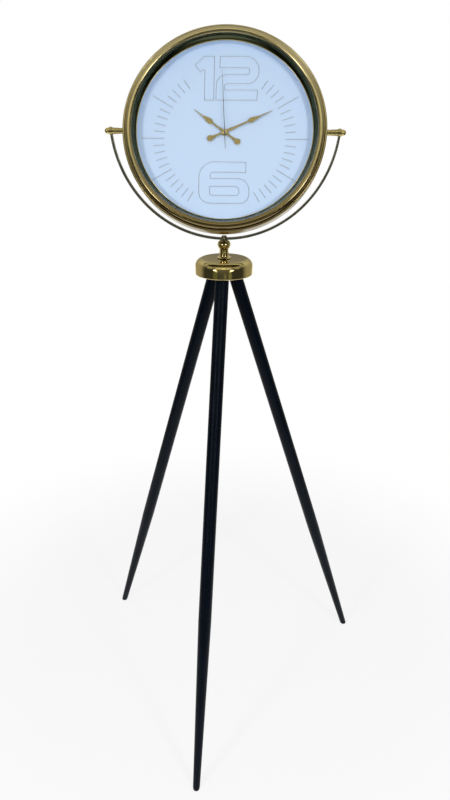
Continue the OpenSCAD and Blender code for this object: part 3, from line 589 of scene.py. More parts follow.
    def dressed(self, finish: Finish | ClearGlass, body: str, slot: Slot,
                replaces: Sequence[str] = ()) -> None:
        """Ends the work: makes the object, gives it its finish and fixes it to its body.

        Args:
            finish: Finish of the surface.
            body: Body that it moves with.
            slot: Slot of the record that the finish belongs to; not used.
            replaces: Solids of the model that it stands for.
        """
        sharp_edge = 32.0
        bmesh.ops.recalc_face_normals(self.mesh, faces=self.mesh.faces)
        data = bpy.data.meshes.new(self.name)
        self.mesh.to_mesh(data)
        self.mesh.free()
        data.shade_smooth()
        data.set_sharp_from_angle(angle=math.radians(sharp_edge))
        data.materials.append(finish.material())
        piece = bpy.data.objects.new(self.name, data)
        bpy.context.scene.collection.objects.link(piece)
        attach(piece, body)
        if replaces:
            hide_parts(*replaces)
        log.info("%s: %d faces on %s", self.name, len(data.polygons), body)


def dress_solids(finish: Finish, *nodes: str) -> None:
    """Gives solids of the model their finish.

    Args:
        finish: Finish of their surface.
        nodes: Names of the solids.
    """
    for node in nodes:
        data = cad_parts[node].data
        data.materials.clear()
        data.materials.append(finish.material())
        log.info("%s: the model's own solid in %s", node, finish.name)


def upright(height: float) -> Matrix:
    """Place on the stem's axis at a height above the floor, in millimetres."""
    return Matrix.Translation((0, 0, height * MM))


@dataclass
class Tripod:
    """Three straight round legs that end on rubber pads.

    Attributes:
        reach: Distance from the middle of the plan to a foot, in millimetres like all sizes here.
        top_reach: Distance from the stem's axis to a leg's axis at the hub's underside.
        hub_z: Height of the hub's underside.
        seat: Height of a leg's end above the hub's underside.
        leg_r: Radius of a leg above its taper.
        foot_r: Radius of a leg at the floor.
        taper_z: Height at which the taper starts.
        pad_h: Thickness of the pad.
        front_turn: Turn of the front leg from straight ahead, in degrees.
        spare: Length below the floor that is cut off.
        bend_r: Rounding where the taper starts.
        foot_edge: Rounding of a leg's foot.
        top_edge: Rounding of its upper end.
        step: Longest distance between two rings of its mesh.
    """

    reach: float = 356.0
    top_reach: float = 21.5
    hub_z: float = 1000.0
    seat: float = 9.0
    leg_r: float = 13.25
    foot_r: float = 7.25
    taper_z: float = 345.0
    pad_h: float = 3.0
    front_turn: float = -6.0
    spare: float = 12.0
    bend_r: float = 60.0
    foot_edge: float = 3.0
    top_edge: float = 0.6
    step: float = 60.0

    def splay(self) -> float:
        """Angle between a leg and the upright, in radians."""
        return math.atan((self.reach - self.top_reach) / self.hub_z)

    def place(self, turn: float) -> Matrix:
        """Place of the leg at that turn from straight ahead, in degrees, with Z up the leg."""
        return (Matrix.Rotation(math.radians(turn), 4, "Z") @ Matrix.Translation((0, -self.reach * MM, 0))
                @ Matrix.Rotation(-self.splay(), 4, "X"))

    def leg(self, node: str, turn: float) -> None:
        """Makes one leg.

        Args:
            node: Solid that it stands for.
            turn: Turn of the leg from straight ahead, in degrees.
        """
        slant = math.cos(self.splay())
        top = (self.hub_z + self.seat) / slant
        taper = self.taper_z / slant
        outline = rounded([
            (0, -self.spare, 0), (self.foot_r, -self.spare, 0), (self.foot_r, 0, self.foot_edge),
            (self.leg_r, taper, self.bend_r), (self.leg_r, top, self.top_edge), (0, top, 0)])
        shaft: list[Point] = []
        for low, high in zip(outline, outline[1:]):
            pieces = max(1, round((high[1] - low[1]) / self.step))
            shaft += [(low[0] + (high[0] - low[0]) * k / pieces, low[1] + (high[1] - low[1]) * k / pieces)
                      for k in range(pieces)]
        shaft.append(outline[-1])
        Blank(f"{node}_shaft").turned(shaft, self.place(turn), around=72).cut_below(self.pad_h).dressed(
            BLACK_SATIN, "stand", Slot.LEG, [node])

    def build(self) -> None:
        """Makes the legs and dresses their pads and bolts."""
        for node, turn in (("leg_front", 0), ("leg_left", -120), ("leg_right", 120)):
            self.leg(node, self.front_turn + turn)
        dress_solids(SOFT_RUBBER, "foot_pads")
        dress_solids(ZINC_STEEL, "hanger_bolts")


@dataclass
class Hub:
    """Spun brass cover over a turned wooden block.

    Attributes:
        base_z: Height of the cover's lower edge, in millimetres like all sizes here.
        radius: Outer radius of the cover.
        height: Height of the cover.
        edge: Rounding of its top edge.
        lip: Rounding of its turned-in lower edge.
        wall: Thickness of its wall.
        hole: Radius of the hole for the stud.
    """

    base_z: float = 1000.0
    radius: float = 56.0
    height: float = 30.0
    edge: float = 18.0
    lip: float = 4.0
    wall: float = 1.5
    hole: float = 4.1

    def cover(self) -> None:
        """Makes the cover."""
        inner, lip_in = self.radius - self.wall, self.radius - self.lip
        outline = rounded([
            (self.hole, self.height, 0), (self.radius, self.height, self.edge), (self.radius, 0, self.lip),
            (lip_in, 0, 0), (lip_in, self.wall, 0), (inner, self.wall, self.lip - self.wall),
            (inner, self.height - self.wall, self.edge - self.wall), (self.hole, self.height - self.wall, 0)])
        Blank("hub_cover_spun").turned(outline, upright(self.base_z), around=192).dressed(
            POLISHED_BRASS, "stand", Slot.BRASS, ["hub_cover"])

    def build(self) -> None:
        """Makes the cover and dresses the block and its stud."""
        self.cover()
        dress_solids(STAINED_WOOD, "leg_block")
        dress_solids(ZINC_STEEL, "stem_stud")


@dataclass
class Stem:
    """Turned brass stem with a ball, and the nut and washer that hold the yoke on it.

    Attributes:
        base_z: Height of its foot, in millimetres like all sizes here.
        height: Height up to its flat top.
        foot_r: Radius of its foot.
        foot_t: Thickness of the foot's edge.
        column_r: Radius of its column.
        groove_z: Height of the groove's upper edge.
        groove_w: Width of the groove.
        collar_r: Radius of the collar above the groove.
        collar_h: Height of the collar.
        ball_r: Radius of the ball's profile.
        ball_in: Distance from the axis to the middle of that profile.
        ball_z: Height of the ball's middle.
        washer_t: Thickness of the washer.
        eye_t: Thickness of the yoke's eye.
        nut_r: Radius of the nut.
        nut_h: Height of the nut.
        nut_hole: Radius of its hole.
        groove_d: Depth of the groove.
        soft: Bevel of the turned edges.
    """

    base_z: float = 1030.0
    height: float = 34.2
    foot_r: float = 14.0
    foot_t: float = 1.6
    column_r: float = 9.0
    groove_z: float = 12.8
    groove_w: float = 1.2
    collar_r: float = 8.5
    collar_h: float = 5.0
    ball_r: float = 8.8
    ball_in: float = 3.7
    ball_z: float = 26.0
    washer_t: float = 0.8
    eye_t: float = 4.0
    nut_r: float = 5.2
    nut_h: float = 3.6
    nut_hole: float = 2.6
    groove_d: float = 1.0
    soft: float = 0.3

    def stem(self) -> None:
        """Makes the stem."""
        flare = self.foot_r - self.column_r
        groove_r, groove_low = self.column_r - self.groove_d, self.groove_z - self.groove_w
        collar_top = self.groove_z + self.collar_h
        ball_end = math.degrees(math.asin((self.height - self.ball_z) / self.ball_r))
        edge = rounded([(self.foot_r, -1, 0), (self.foot_r, self.foot_t, 0.4),
                        (self.foot_r - 1, self.foot_t, 0)])
        outline = [(0.0, 0.0), *edge[1:-1]]
        outline += arc((self.foot_r, self.foot_t + flare), flare, -96, -180, steps=14)
        outline += [
            (self.column_r, groove_low - self.soft), (self.column_r - self.soft, groove_low),
            (groove_r, groove_low), (groove_r, self.groove_z), (self.collar_r - self.soft, self.groove_z),
            (self.collar_r, self.groove_z + self.soft), (self.collar_r, collar_top - self.soft),
            (self.collar_r - self.soft, collar_top)]
        outline += arc((self.ball_in, self.ball_z), self.ball_r, -ball_end, ball_end, steps=40)
        outline.append((0.0, self.height))
        Blank("stem_turned").turned(outline, upright(self.base_z), around=96).dressed(
            STEM_BRASS, "stand", Slot.BRASS, ["stem"])

    def nut(self) -> None:
        """Makes the round nut on the yoke's eye, open below where it is seated."""
        low = self.base_z + self.height + self.washer_t + self.eye_t
        outline = rounded([(self.nut_hole, 0, 0), (self.nut_r, 0, 0.2), (self.nut_r, self.nut_h, 1.6),
                           (0, self.nut_h, 0)])
        Blank("cap_nut_turned").turned(outline, upright(low), around=64, closed=False).dressed(
            AGED_NUT, "stand", Slot.BRASS, ["cap_nut"])

    def build(self) -> None:
        """Makes the stem and its nut and dresses the washer and the stud."""
        self.stem()
        self.nut()
        dress_solids(STEM_BRASS, "swivel_washer")
        dress_solids(ZINC_STEEL, "swivel_stud")


@dataclass
class Yoke:
    """Thin flat bar bent to less than a half circle, with an eye in its middle and one at each end.

    Attributes:
        radius: Radius of the bar's middle line, in millimetres like all sizes here.
        rise: Height of the arc's centre above the tilt axis.
        pivot_z: Height of the tilt axis.
        bar_t: Thickness of the bar.
        bar_w: Width of the bar.
        bar_edge: Rounding of its long edges.
        eye_r: Radius of the eye in the middle.
        eye_t: Thickness of that eye.
        eye_z: Height of its underside.
        eye_hole: Radius of its hole.
        end_r: Radius of the eyes at the ends.
        end_t: Thickness of those eyes.
        end_hole: Radius of their holes.
        eye_edge: Rounding of the eyes' edges.
        sunk: How far the middle eye reaches below its seat.
    """

    radius: float = 204.0
    rise: float = 16.0
    pivot_z: float = 1255.0
    bar_t: float = 3.8
    bar_w: float = 10.0
    bar_edge: float = 1.0
    eye_r: float = 6.5
    eye_t: float = 4.0
    eye_z: float = 1065.0
    eye_hole: float = 2.56
    end_r: float = 7.0
    end_t: float = 4.7
    end_hole: float = 3.06
    eye_edge: float = 0.6
    sunk: float = 0.05

    def bar(self) -> None:
        """Bends the flat bar."""
        first = math.degrees(math.asin((self.rise + self.end_r / 2) / self.radius))
        t, w, edge = self.bar_t / 2, self.bar_w / 2, self.bar_edge
        section = rounded([(-t, -w, edge), (t, -w, edge), (t, w, edge), (-t, w, edge)])
        centre = Vector((0, 0, (self.pivot_z + self.rise) * MM))
        Blank("yoke_bar_bent").bent_bar(centre, self.radius, section, -first, first - 180, steps=180).dressed(
            DARK_BRONZE, "head_yoke", Slot.BRONZE, ["yoke"])

    def eyes(self) -> None:
        """Makes the eyes that are forged on the bar's middle and ends."""
        middle = rounded([(self.eye_hole, -self.sunk, 0), (self.eye_r, -self.sunk, self.eye_edge),
                          (self.eye_r, self.eye_t, self.eye_edge), (self.eye_hole, self.eye_t, 0)])
        Blank("yoke_middle_eye").turned(middle, upright(self.eye_z), around=64).dressed(
            AGED_NUT, "head_yoke", Slot.BRONZE)
        end = rounded([(self.end_hole, 0, 0), (self.end_r, 0, self.eye_edge),
                       (self.end_r, self.end_t, self.eye_edge), (self.end_hole, self.end_t, 0)])
        inner = math.sqrt(self.radius ** 2 - self.rise ** 2) - self.end_t / 2
        for name, side in SIDES:
            place = (Matrix.Translation((side * inner * MM, 0, self.pivot_z * MM))
                     @ Matrix.Rotation(side * math.pi / 2, 4, "Y"))
            Blank(f"yoke_end_eye_{name}").turned(end, place, around=64).dressed(
                AGED_BRASS, "head_yoke", Slot.BRONZE)

    def build(self) -> None:
        """Makes the bar and its eyes."""
        self.bar()
        self.eyes()


@dataclass
class Head:
    """Place of the case on its tilt axis.

    Attributes:
        pivot_z: Height of the tilt axis, in millimetres.
        tilt: Tilt back from upright at rest, in degrees.
    """

    pivot_z: float = 1255.0
    tilt: float = 23.0

    def place(self) -> Matrix:
        """Place of the case, with X to the right, Y up the dial and Z towards the viewer."""
        return (Matrix.Translation((0, 0, self.pivot_z * MM))
                @ Matrix.Rotation(math.radians(90 - self.tilt), 4, "X"))

    def side(self, side: int) -> Matrix:
        """Place with Z out of the case at its right (1) or left (-1)."""
        return self.place() @ Matrix.Rotation(side * math.pi / 2, 4, "Y")


@dataclass
class Pivots:
    """Tilt screws with domed heads, and the ringed barrels between the case and the yoke.

    Attributes:
        head: Place of the case.
        inner: Distance from the middle to a barrel's inner end, in millimetres like all sizes here.
        outer: Distance from the middle to its outer end.
        eye_t: Thickness of the yoke's end eye.
        barrel_r: Radius of a barrel at the case.
        barrel_end_r: Radius of a barrel at the yoke.
        rings: Number of rings that a barrel's grooves part.
        groove: Depth of those grooves.
        screw_r: Radius of a screw.
        collar_r: Radius of the collar on a screw's head.
        collar_l: Length of that collar.
        neck: Width and depth of the groove between the collar and the dome.
        dome_r: Radius of the dome.
        head_l: Length of the head.
        tail: Distance from the middle to the screw's inner end.
        play: Gap between a screw and its barrel.
        soft: Bevel of a barrel's edges.
    """

    head: Head
    inner: float = 180.3
    outer: float = 201.02
    eye_t: float = 4.7
    barrel_r: float = 4.9
    barrel_end_r: float = 5.9
    rings: int = 3
    groove: float = 0.5
    screw_r: float = 3.0
    collar_r: float = 6.0
    collar_l: float = 2.4
    neck: float = 0.8
    dome_r: float = 5.3
    head_l: float = 9.0
    tail: float = 172.1
    play: float = 0.1
    soft: float = 0.3

    def barrel(self, name: str, side: int) -> None:
        """Makes one barrel.

        Args:
            name: Name of its side.
            side: 1 for the right, -1 for the left.
        """
        hole, soft = self.screw_r + self.play, self.soft
        outline: list[Point] = [(hole, self.inner), (self.barrel_r - soft, self.inner),
                                (self.barrel_r, self.inner + soft)]
        for i in range(1, self.rings):
            share = i / self.rings
            middle = (self.barrel_r + (self.barrel_end_r - self.barrel_r) * share + self.groove,
                      self.inner + (self.outer - self.inner) * share)
            outline += arc(middle, 2 * self.groove, 240, 120, steps=10)
        outline += [(self.barrel_end_r, self.outer - soft), (self.barrel_end_r - soft, self.outer),
                    (hole, self.outer)]
        Blank(f"pivot_barrel_{name}_turned").turned(outline, self.head.side(side), 72).dressed(
            AGED_BRASS, "clock", Slot.BRASS, [f"pivot_barrel_{name}"])

    def screw(self, name: str, side: int) -> None:
        """Makes one tilt screw.

        Args:
            name: Name of its side.
            side: 1 for the right, -1 for the left.
        """
        seat = self.outer + self.eye_t
        collar, dome = seat + self.collar_l, seat + self.head_l - self.dome_r
        neck_r = self.dome_r - self.neck
        start = math.degrees(math.asin((collar + self.neck - dome) / self.dome_r))
        point = 0.4
        outline = [(0.0, self.tail), (self.screw_r - point, self.tail), (self.screw_r, self.tail + point),
                   (self.screw_r, seat)]
        outline += rounded([(self.screw_r, seat, 0), (self.collar_r, seat, 0.3), (self.collar_r, collar, 0.6),
                            (neck_r, collar, 0)])[1:]
        outline += [(neck_r, collar + self.neck), *arc((0, dome), self.dome_r, start, 90, steps=22)]
        Blank(f"pivot_screw_{name}_turned").turned(outline, self.head.side(side), 72).dressed(
            POLISHED_BRASS, "clock", Slot.BRASS, [f"pivot_screw_{name}"])

    def build(self) -> None:
        """Makes both screws and barrels and dresses their nuts."""
        for name, side in SIDES:
            self.barrel(name, side)
            self.screw(name, side)
        dress_solids(ZINC_STEEL, "pivot_nuts")


@dataclass
class Case:
    """Spun brass case with its bezel, glass, inner ring, back board and screws.

    Attributes:
        head: Place of the case.
        radius: Outer radius of the band, in millimetres like all sizes here.
        sight_r: Radius of the dial that shows.
        slope_w: Width of the slope round the glass.
        bead_w: Width of the half-round bead.
        seat_z: Height of the bezel's seat in front of the tilt axis.
        bead_z: Height at which the bead's round top starts.
        glass_z: Height of the back of the glass.
        glass_t: Thickness of the glass.
        glass_r: Radius of the glass.
        lip_t: Thickness of the lip over the glass.
        rim_w: Width of the rolled edge.
        rim_z: Height of the rolled edge's top.
        band_back: Depth of the band behind the tilt axis.
        band_r: Rounding of the band's rear edge.
        drum_r: Outer radius of the drum.
        drum_back: Depth of the drum's rear edge.
        roll_r: Radius of the drum's rolled rear edge.
        wall: Thickness of the spun walls.
        dial_z: Height of the dial's face.
        ring_r: Inner radius of the ring between the glass and the dial.
        ring_out: Outer radius of that ring.
        sag: Hollow of the slope.
        meet: Angle on the bead's round top at which the slope meets it.
        around: Number of steps round the brass.
    """

    head: Head
    radius: float = 180.0
    sight_r: float = 155.5
    slope_w: float = 7.0
    bead_w: float = 13.0
    seat_z: float = 8.6
    bead_z: float = 17.6
    glass_z: float = 7.0
    glass_t: float = 2.5
    glass_r: float = 158.5
    lip_t: float = 1.2
    rim_w: float = 4.2
    rim_z: float = 17.6
    band_back: float = 9.0
    band_r: float = 4.0
    drum_r: float = 169.0
    drum_back: float = 32.0
    roll_r: float = 1.6
    wall: float = 1.6
    dial_z: float = -4.0
    ring_r: float = 156.2
    ring_out: float = 166.1
    sag: float = 0.5
    meet: float = 146.0
    around: int = 320

    def slope(self, crest: Point, bead_in: float) -> list[Point]:
        """Outline of the slope, slightly hollow, from the glass up to the bead's crest.

        Args:
            crest: Radius and height at which it meets the bead.
            bead_in: Inner radius of the bead.

        Returns:
            The outline's points, in millimetres.
        """
        steps, lean_out, lean_back, gap, foot_share = 12, 0.8, 0.6, 0.3, 0.6
        front, edge = self.glass_z + self.glass_t, self.glass_r + gap
        foot = (self.sight_r + self.lip_t / 2, front + self.lip_t * foot_share)
        outline: list[Point] = [(edge, self.seat_z), (edge, front), (foot[0], front)]
        for k in range(steps + 1):
            t = k / steps
            sag = self.sag * math.sin(math.pi * t)
            outline.append((foot[0] + (crest[0] - foot[0]) * t + sag * lean_out,
                            foot[1] + (crest[1] - foot[1]) * t - sag * lean_back))
        return [*outline, (bead_in, self.seat_z)]

    def bezel(self) -> None:
        """Makes the bezel: rounded bead, slope up to its crest in brass painted dark for the dark reflections
        it shows, bright lip on the glass.
        """
        half = self.bead_w / 2
        middle = (self.sight_r + self.slope_w + half, self.bead_z)
        round_top = arc(middle, half, self.meet, 0, steps=60)
        bead = [(middle[0] - half, self.seat_z), *round_top, (middle[0] + half, self.seat_z)]
        low, soft = self.glass_z + self.glass_t, self.lip_t * 0.45
        high, out = low + self.lip_t, self.sight_r + self.lip_t
        lip = rounded([(self.sight_r, low, soft), (out, low, soft), (out, high, soft),
                       (self.sight_r, high, soft)])
        for name, outline, finish, solids in (
                ("bead", bead, CASE_BRASS, ["front_bezel"]),
                ("slope", self.slope(round_top[0], middle[0] - half), DARK_REFLECTION_SLOPE, []),
                ("lip", lip, POLISHED_BRASS, [])):
            Blank(f"front_bezel_{name}").turned(outline, self.head.place(), self.around).dressed(
                finish, "clock", Slot.BRASS, solids)

    def drum(self) -> None:
        """Makes the band with its rolled edge, the shoulder and the drum behind it."""
        roll, back = self.roll_r, -self.band_back
        low, inner = self.drum_r - self.wall, self.radius - self.wall
        rim_in, seat = self.radius - self.rim_w, self.glass_r + 0.4
        outline = rounded([
            (low, -self.drum_back, roll), (low + 2 * roll, -self.drum_back, roll),
            (low + 2 * roll, 2 * roll - self.drum_back, roll), (self.drum_r, 2 * roll - self.drum_back, 0.2),
            (self.drum_r, back, 1.0), (self.radius, back, self.band_r),
            (self.radius, self.rim_z, self.rim_w / 2), (rim_in, self.rim_z, self.rim_w / 2),
            (rim_in, self.seat_z, 0), (seat, self.seat_z, 0), (seat, self.glass_z, 0),
            (inner, self.glass_z, 0), (inner, self.wall + back, 2.4), (low, self.wall + back, 1.0)])
        Blank("case_drum_spun").turned(outline, self.head.place(), self.around).dressed(
            CASE_BRASS, "clock", Slot.BRASS, ["case_drum"])

    def glass(self) -> None:
        """Makes the glass with ground edges."""
        top, ground = self.glass_z + self.glass_t, 0.4
        outline = rounded([(0, self.glass_z, 0), (self.glass_r, self.glass_z, ground),
                           (self.glass_r, top, ground), (0, top, 0)])
        Blank("glass_disc").turned(outline, self.head.place(), around=192).dressed(
            ClearGlass(), "clock", Slot.GLASS, ["glass"])

    def ring(self) -> None:
        """Makes the ring between the glass and the dial."""
        outline = rounded([(self.ring_r, self.dial_z, 0), (self.ring_out, self.dial_z, 0),
                           (self.ring_out, self.glass_z, 0), (self.ring_r, self.glass_z, 0.5)])
        Blank("spacer_ring_painted").turned(outline, self.head.place(), around=240).dressed(
            RING_PAINT, "clock", Slot.RING, ["spacer_ring"])

    def build(self) -> None:
        """Makes the brass, the glass and the ring, and dresses the board and the screws."""
        self.drum()
        self.bezel()
        self.glass()
        self.ring()
        dress_solids(FIBREBOARD, "back_board")
        dress_solids(ZINC_STEEL, "case_screws")


@dataclass
class Dial:
    """Painted dial with its printed figures and ticks.

    Attributes:
        head: Place of the case.
        face_z: Height of the painted face, in millimetres like all sizes here.
        ink: Height of the print above the paint.
        figure_line: Width of the figures' outlines.
        tick_line: Width of the ticks.
        tick_drop: How far the ticks' centre lies below the hands' axis.
        tick_in: Distance from that centre to the ticks' inner ends.
        short_out: Distance from it to the outer ends of the short ticks.
        long_out: Distance from it to the outer ends of the long ticks.
    """

    head: Head
    face_z: float = -4.0
    ink: float = 0.06
    figure_line: float = 0.75
    tick_line: float = 0.85
    tick_drop: float = 11.0
    tick_in: float = 108.0
    short_out: float = 128.0
    long_out: float = 150.0

    def figures(self) -> dict[str, list[list[Corner]]]:
        """Outlines of the two figures: X, Y and rounding of each corner.

        Returns:
            The closed outlines of each figure.
        """
        one = [(-55.5, 118.5, 0), (-38.5, 134, 0), (-21, 134, 0), (-21, 57, 0), (-37.5, 57, 0),
               (-37.5, 112, 2), (-45.5, 106.5, 0)]
        two = [(-11, 134, 0), (58.5, 134.5, 25), (58.5, 86, 21), (-2.5, 86, 8), (-2.5, 75, 0), (56.5, 75, 0),
               (56, 57.5, 0), (-17, 57, 0), (-17, 101.5, 18), (42, 102, 5), (42, 114, 5), (-11, 114, 0)]
        six = [(39, -52, 0), (39, -70, 0), (-24.5, -70, 7), (-24.5, -81, 0), (45.5, -81, 21),
               (45.5, -125, 17), (-44.5, -125, 20), (-44.5, -51.5, 27)]
        eye = [(-25, -95, 1.5), (27.5, -95, 7), (27.5, -111, 6), (-25, -111, 5)]
        return {"twelve": [one, two], "six": [six, eye]}

    def print_figures(self) -> None:
        """Prints the outlines of the figures."""
        for name, outlines in self.figures().items():
            work = Blank(f"dial_figure_{name}")
            for corners in outlines:
                work.line(rounded(corners), self.figure_line, self.face_z, self.face_z + self.ink,
                          self.head.place(), closed=True)
            work.dressed(DIAL_INK, "clock", Slot.DIAL)

    def print_ticks(self) -> None:
        """Prints the ticks at the left and right of the dial, one for each minute."""
        work = Blank("dial_ticks")
        for minute in range(6, 26):
            turn = math.radians(6 * minute)
            outer = self.long_out if minute % 5 == 0 and 10 <= minute <= 20 else self.short_out
            for side in (-1, 1):
                ends = [(side * r * math.sin(turn), r * math.cos(turn) - self.tick_drop)
                        for r in (self.tick_in, outer)]
                work.line(ends, self.tick_line, self.face_z, self.face_z + self.ink, self.head.place(),
                          closed=False)
        work.dressed(DIAL_INK, "clock", Slot.DIAL)

    def build(self) -> None:
        """Dresses the dial and prints on it."""
        dress_solids(DIAL_PAINT, "dial")
        self.print_figures()
        self.print_ticks()


@dataclass
class Hands:
    """Leaf-shaped hour and minute hands with discs on their tails, a thin second hand and their nut.

    Attributes:
        head: Place of the case.
        hour_turn: Turn of the hour hand from twelve, clockwise, in degrees.
        minute_turn: Turn of the minute hand.
        second_turn: Turn of the second hand.
        hour_z: Height of the hour hand's back, in millimetres like all sizes here.
        minute_z: Height of the minute hand's back.
        second_z: Height of the second hand's back.
        thickness: Thickness of the hour and minute hands.
        tail: Distance from the axis to the disc on a tail.
        disc_r: Radius of that disc.
        eye_r: Radius of a hand's middle.
        bevel: Height of the edges below the face.
        crown: How far the middle line of a leaf stands above its edges.
        tail_crown: How far that of a tail does.
        second_t: Thickness of the second hand at its edges.
        boss_r: Radius of the second hand's boss.
        boss_h: Height of that boss.
        nut_r: Radius of the nut in the middle.
        nut_hole: Radius of its hole.
        nut_z: Height of its back.
        nut_top: Height of its face.
    """

    head: Head
    hour_turn: float = 305.5
    minute_turn: float = 65.94
    second_turn: float = 356.4
    hour_z: float = -1.5
    minute_z: float = 0.3
    second_z: float = 2.5
    thickness: float = 0.6
    tail: float = 28.0
    disc_r: float = 5.5
    eye_r: float = 5.25
    bevel: float = 0.15
    crown: float = 0.28
    tail_crown: float = 0.2
    second_t: float = 0.25
    boss_r: float = 2.2
    boss_h: float = 1.45
    nut_r: float = 3.7
    nut_hole: float = 1.9
    nut_z: float = 0.9
    nut_top: float = 2.1

    def at(self, turn: float) -> Matrix:
        """Place of a hand that points along Y."""
        return self.head.place() @ Matrix.Rotation(-math.radians(turn), 4, "Z")

    def disc(self, work: Blank, place: Matrix, radius: float, low: float, high: float, hole: float) -> None:
        """Adds a round disc with soft edges to a hand.

        Args:
            work: The hand.
            place: Where the disc's axis stands.
            radius: Radius of the disc.
            low: Height of its back.
            high: Height of its face.
            hole: Radius of its hole, or 0.
        """
        edge, dome = 0.25, 0.12
        outline = rounded([(hole, low, 0), (radius, low, 0), (radius, high, edge), (hole, high + dome, 0)])
        work.turned(outline, place, around=56)

    def leaf_hand(self, name: str, body: str, turn: float, low: float, stations: Sequence[Point],
                  hole: float) -> None:
        """Makes an hour or a minute hand.

        Args:
            name: Solid that it stands for.
            body: Body that it moves with.
            turn: Turn from twelve, in degrees.
            low: Height of its back.
            stations: Distance from the axis and half width, from the middle to the tip.
            hole: Radius of its hole.
        """
        place = self.at(turn)
        high = low + self.thickness
        edge = high - self.bevel
        rim = 0.8
        start = math.sqrt(max(hole ** 2 - stations[0][1] ** 2, 0)) + rim
        work = Blank(f"{name}_pressed")
        work.bar([(start, stations[0][1]), *stations[1:]], low, edge, self.crown, place)
        work.bar([(-self.tail, 3.4), (-self.tail * 0.75, 2.5), (-self.tail * 0.45, 1.7), (-start, 1.6)],
                 low, edge, self.tail_crown, place)
        under, over = low - 0.002, high + 0.02
        self.disc(work, place @ Matrix.Translation((0, -self.tail * MM, 0)), self.disc_r, under, over,
                  hole=0)
        self.disc(work, place, self.eye_r, under, over, hole)
        work.dressed(HAND_BRASS, body, Slot.HAND, [name])

    def build(self) -> None:
        """Makes the three hands and the nut on them, and dresses the nut of the bush."""
        hour = [(0.0, 3.0), (8, 2.3), (15, 1.7), (24, 1.5), (27, 1.7), (29.5, 3.4), (32.5, 4.7), (36, 4.4),
                (42, 3.0), (47, 1.7), (50, 1.1), (59, 0.75), (68, 0.3)]
        minute = [(0.0, 3.2), (8, 2.7), (20, 2.0), (34, 1.55), (43, 1.5), (45.5, 1.8), (48, 3.5), (51, 4.6),
                  (54, 4.3), (60, 3.0), (65.5, 1.8), (69, 1.2), (80, 0.8), (92.5, 0.3)]
        self.leaf_hand("hour_hand", "hours_set", self.hour_turn, self.hour_z, hour, hole=2.55)
        self.leaf_hand("minute_hand", "minutes_set", self.minute_turn, self.minute_z, minute, hole=1.85)
        place = self.at(self.second_turn)
        low, edge = self.second_z, self.second_z + self.second_t
        work = Blank("second_hand_pressed")
        for stations in ([(-30, 0.40), (-15, 0.6), (-2.0, 0.75)],
                         [(2.0, 0.75), (40, 0.55), (80, 0.38), (110, 0.2)]):
            work.bar(stations, low, edge, crown=0.15, place=place)
        self.disc(work, place, self.boss_r, low, low + self.boss_h, hole=0.68)
        work.dressed(DARK_STEEL, "seconds_set", Slot.HAND, ["second_hand"])
        nut = rounded([(self.nut_hole, self.nut_z, 0), (self.nut_r, self.nut_z, 0),
                       (self.nut_r, self.nut_top, 0.35), (self.nut_hole, self.nut_top, 0)])
        Blank("hand_nut_turned").turned(nut, self.head.place(), around=64).dressed(
            POLISHED_BRASS, "minutes_set", Slot.BRASS, ["hand_nut"])
        dress_solids(POLISHED_BRASS, "bush_nut")


@dataclass
class Movement:
    """Quartz movement on the back board: its housing, battery, wheels and set knob."""

    def build(self) -> None:
        """Dresses every piece of the movement."""
        dress_solids(MOULDED_BLACK, "movement_case", "movement_cover", "set_knob")
        dress_solids(WHEEL_PLASTIC, "intermediate_wheel", "seconds_wheel", "third_wheel", "centre_wheel",
                     "minute_wheel", "hour_wheel")
        dress_solids(BATTERY_SKIN, "battery")
        dress_solids(NICKEL, "battery_contacts")
        dress_solids(CIRCUIT_GREEN, "circuit_board")
        dress_solids(COPPER_COIL, "coil")
        dress_solids(ZINC_STEEL, "stator", "rotor")


@dataclass(frozen=True)
class Panel:
    """Soft bright panel of the studio that polished metal mirrors.

    Attributes:
        azimuth: Direction round the clock, from straight in front towards its right, in degrees.
        elevation: Height above the horizon, in degrees.
        spread: Half angle that it fills.
        soft: Width of its soft edge.
        colour: Its light, linear.
    """

    azimuth: float
    elevation: float
    spread: float
    soft: float
    colour: Colour


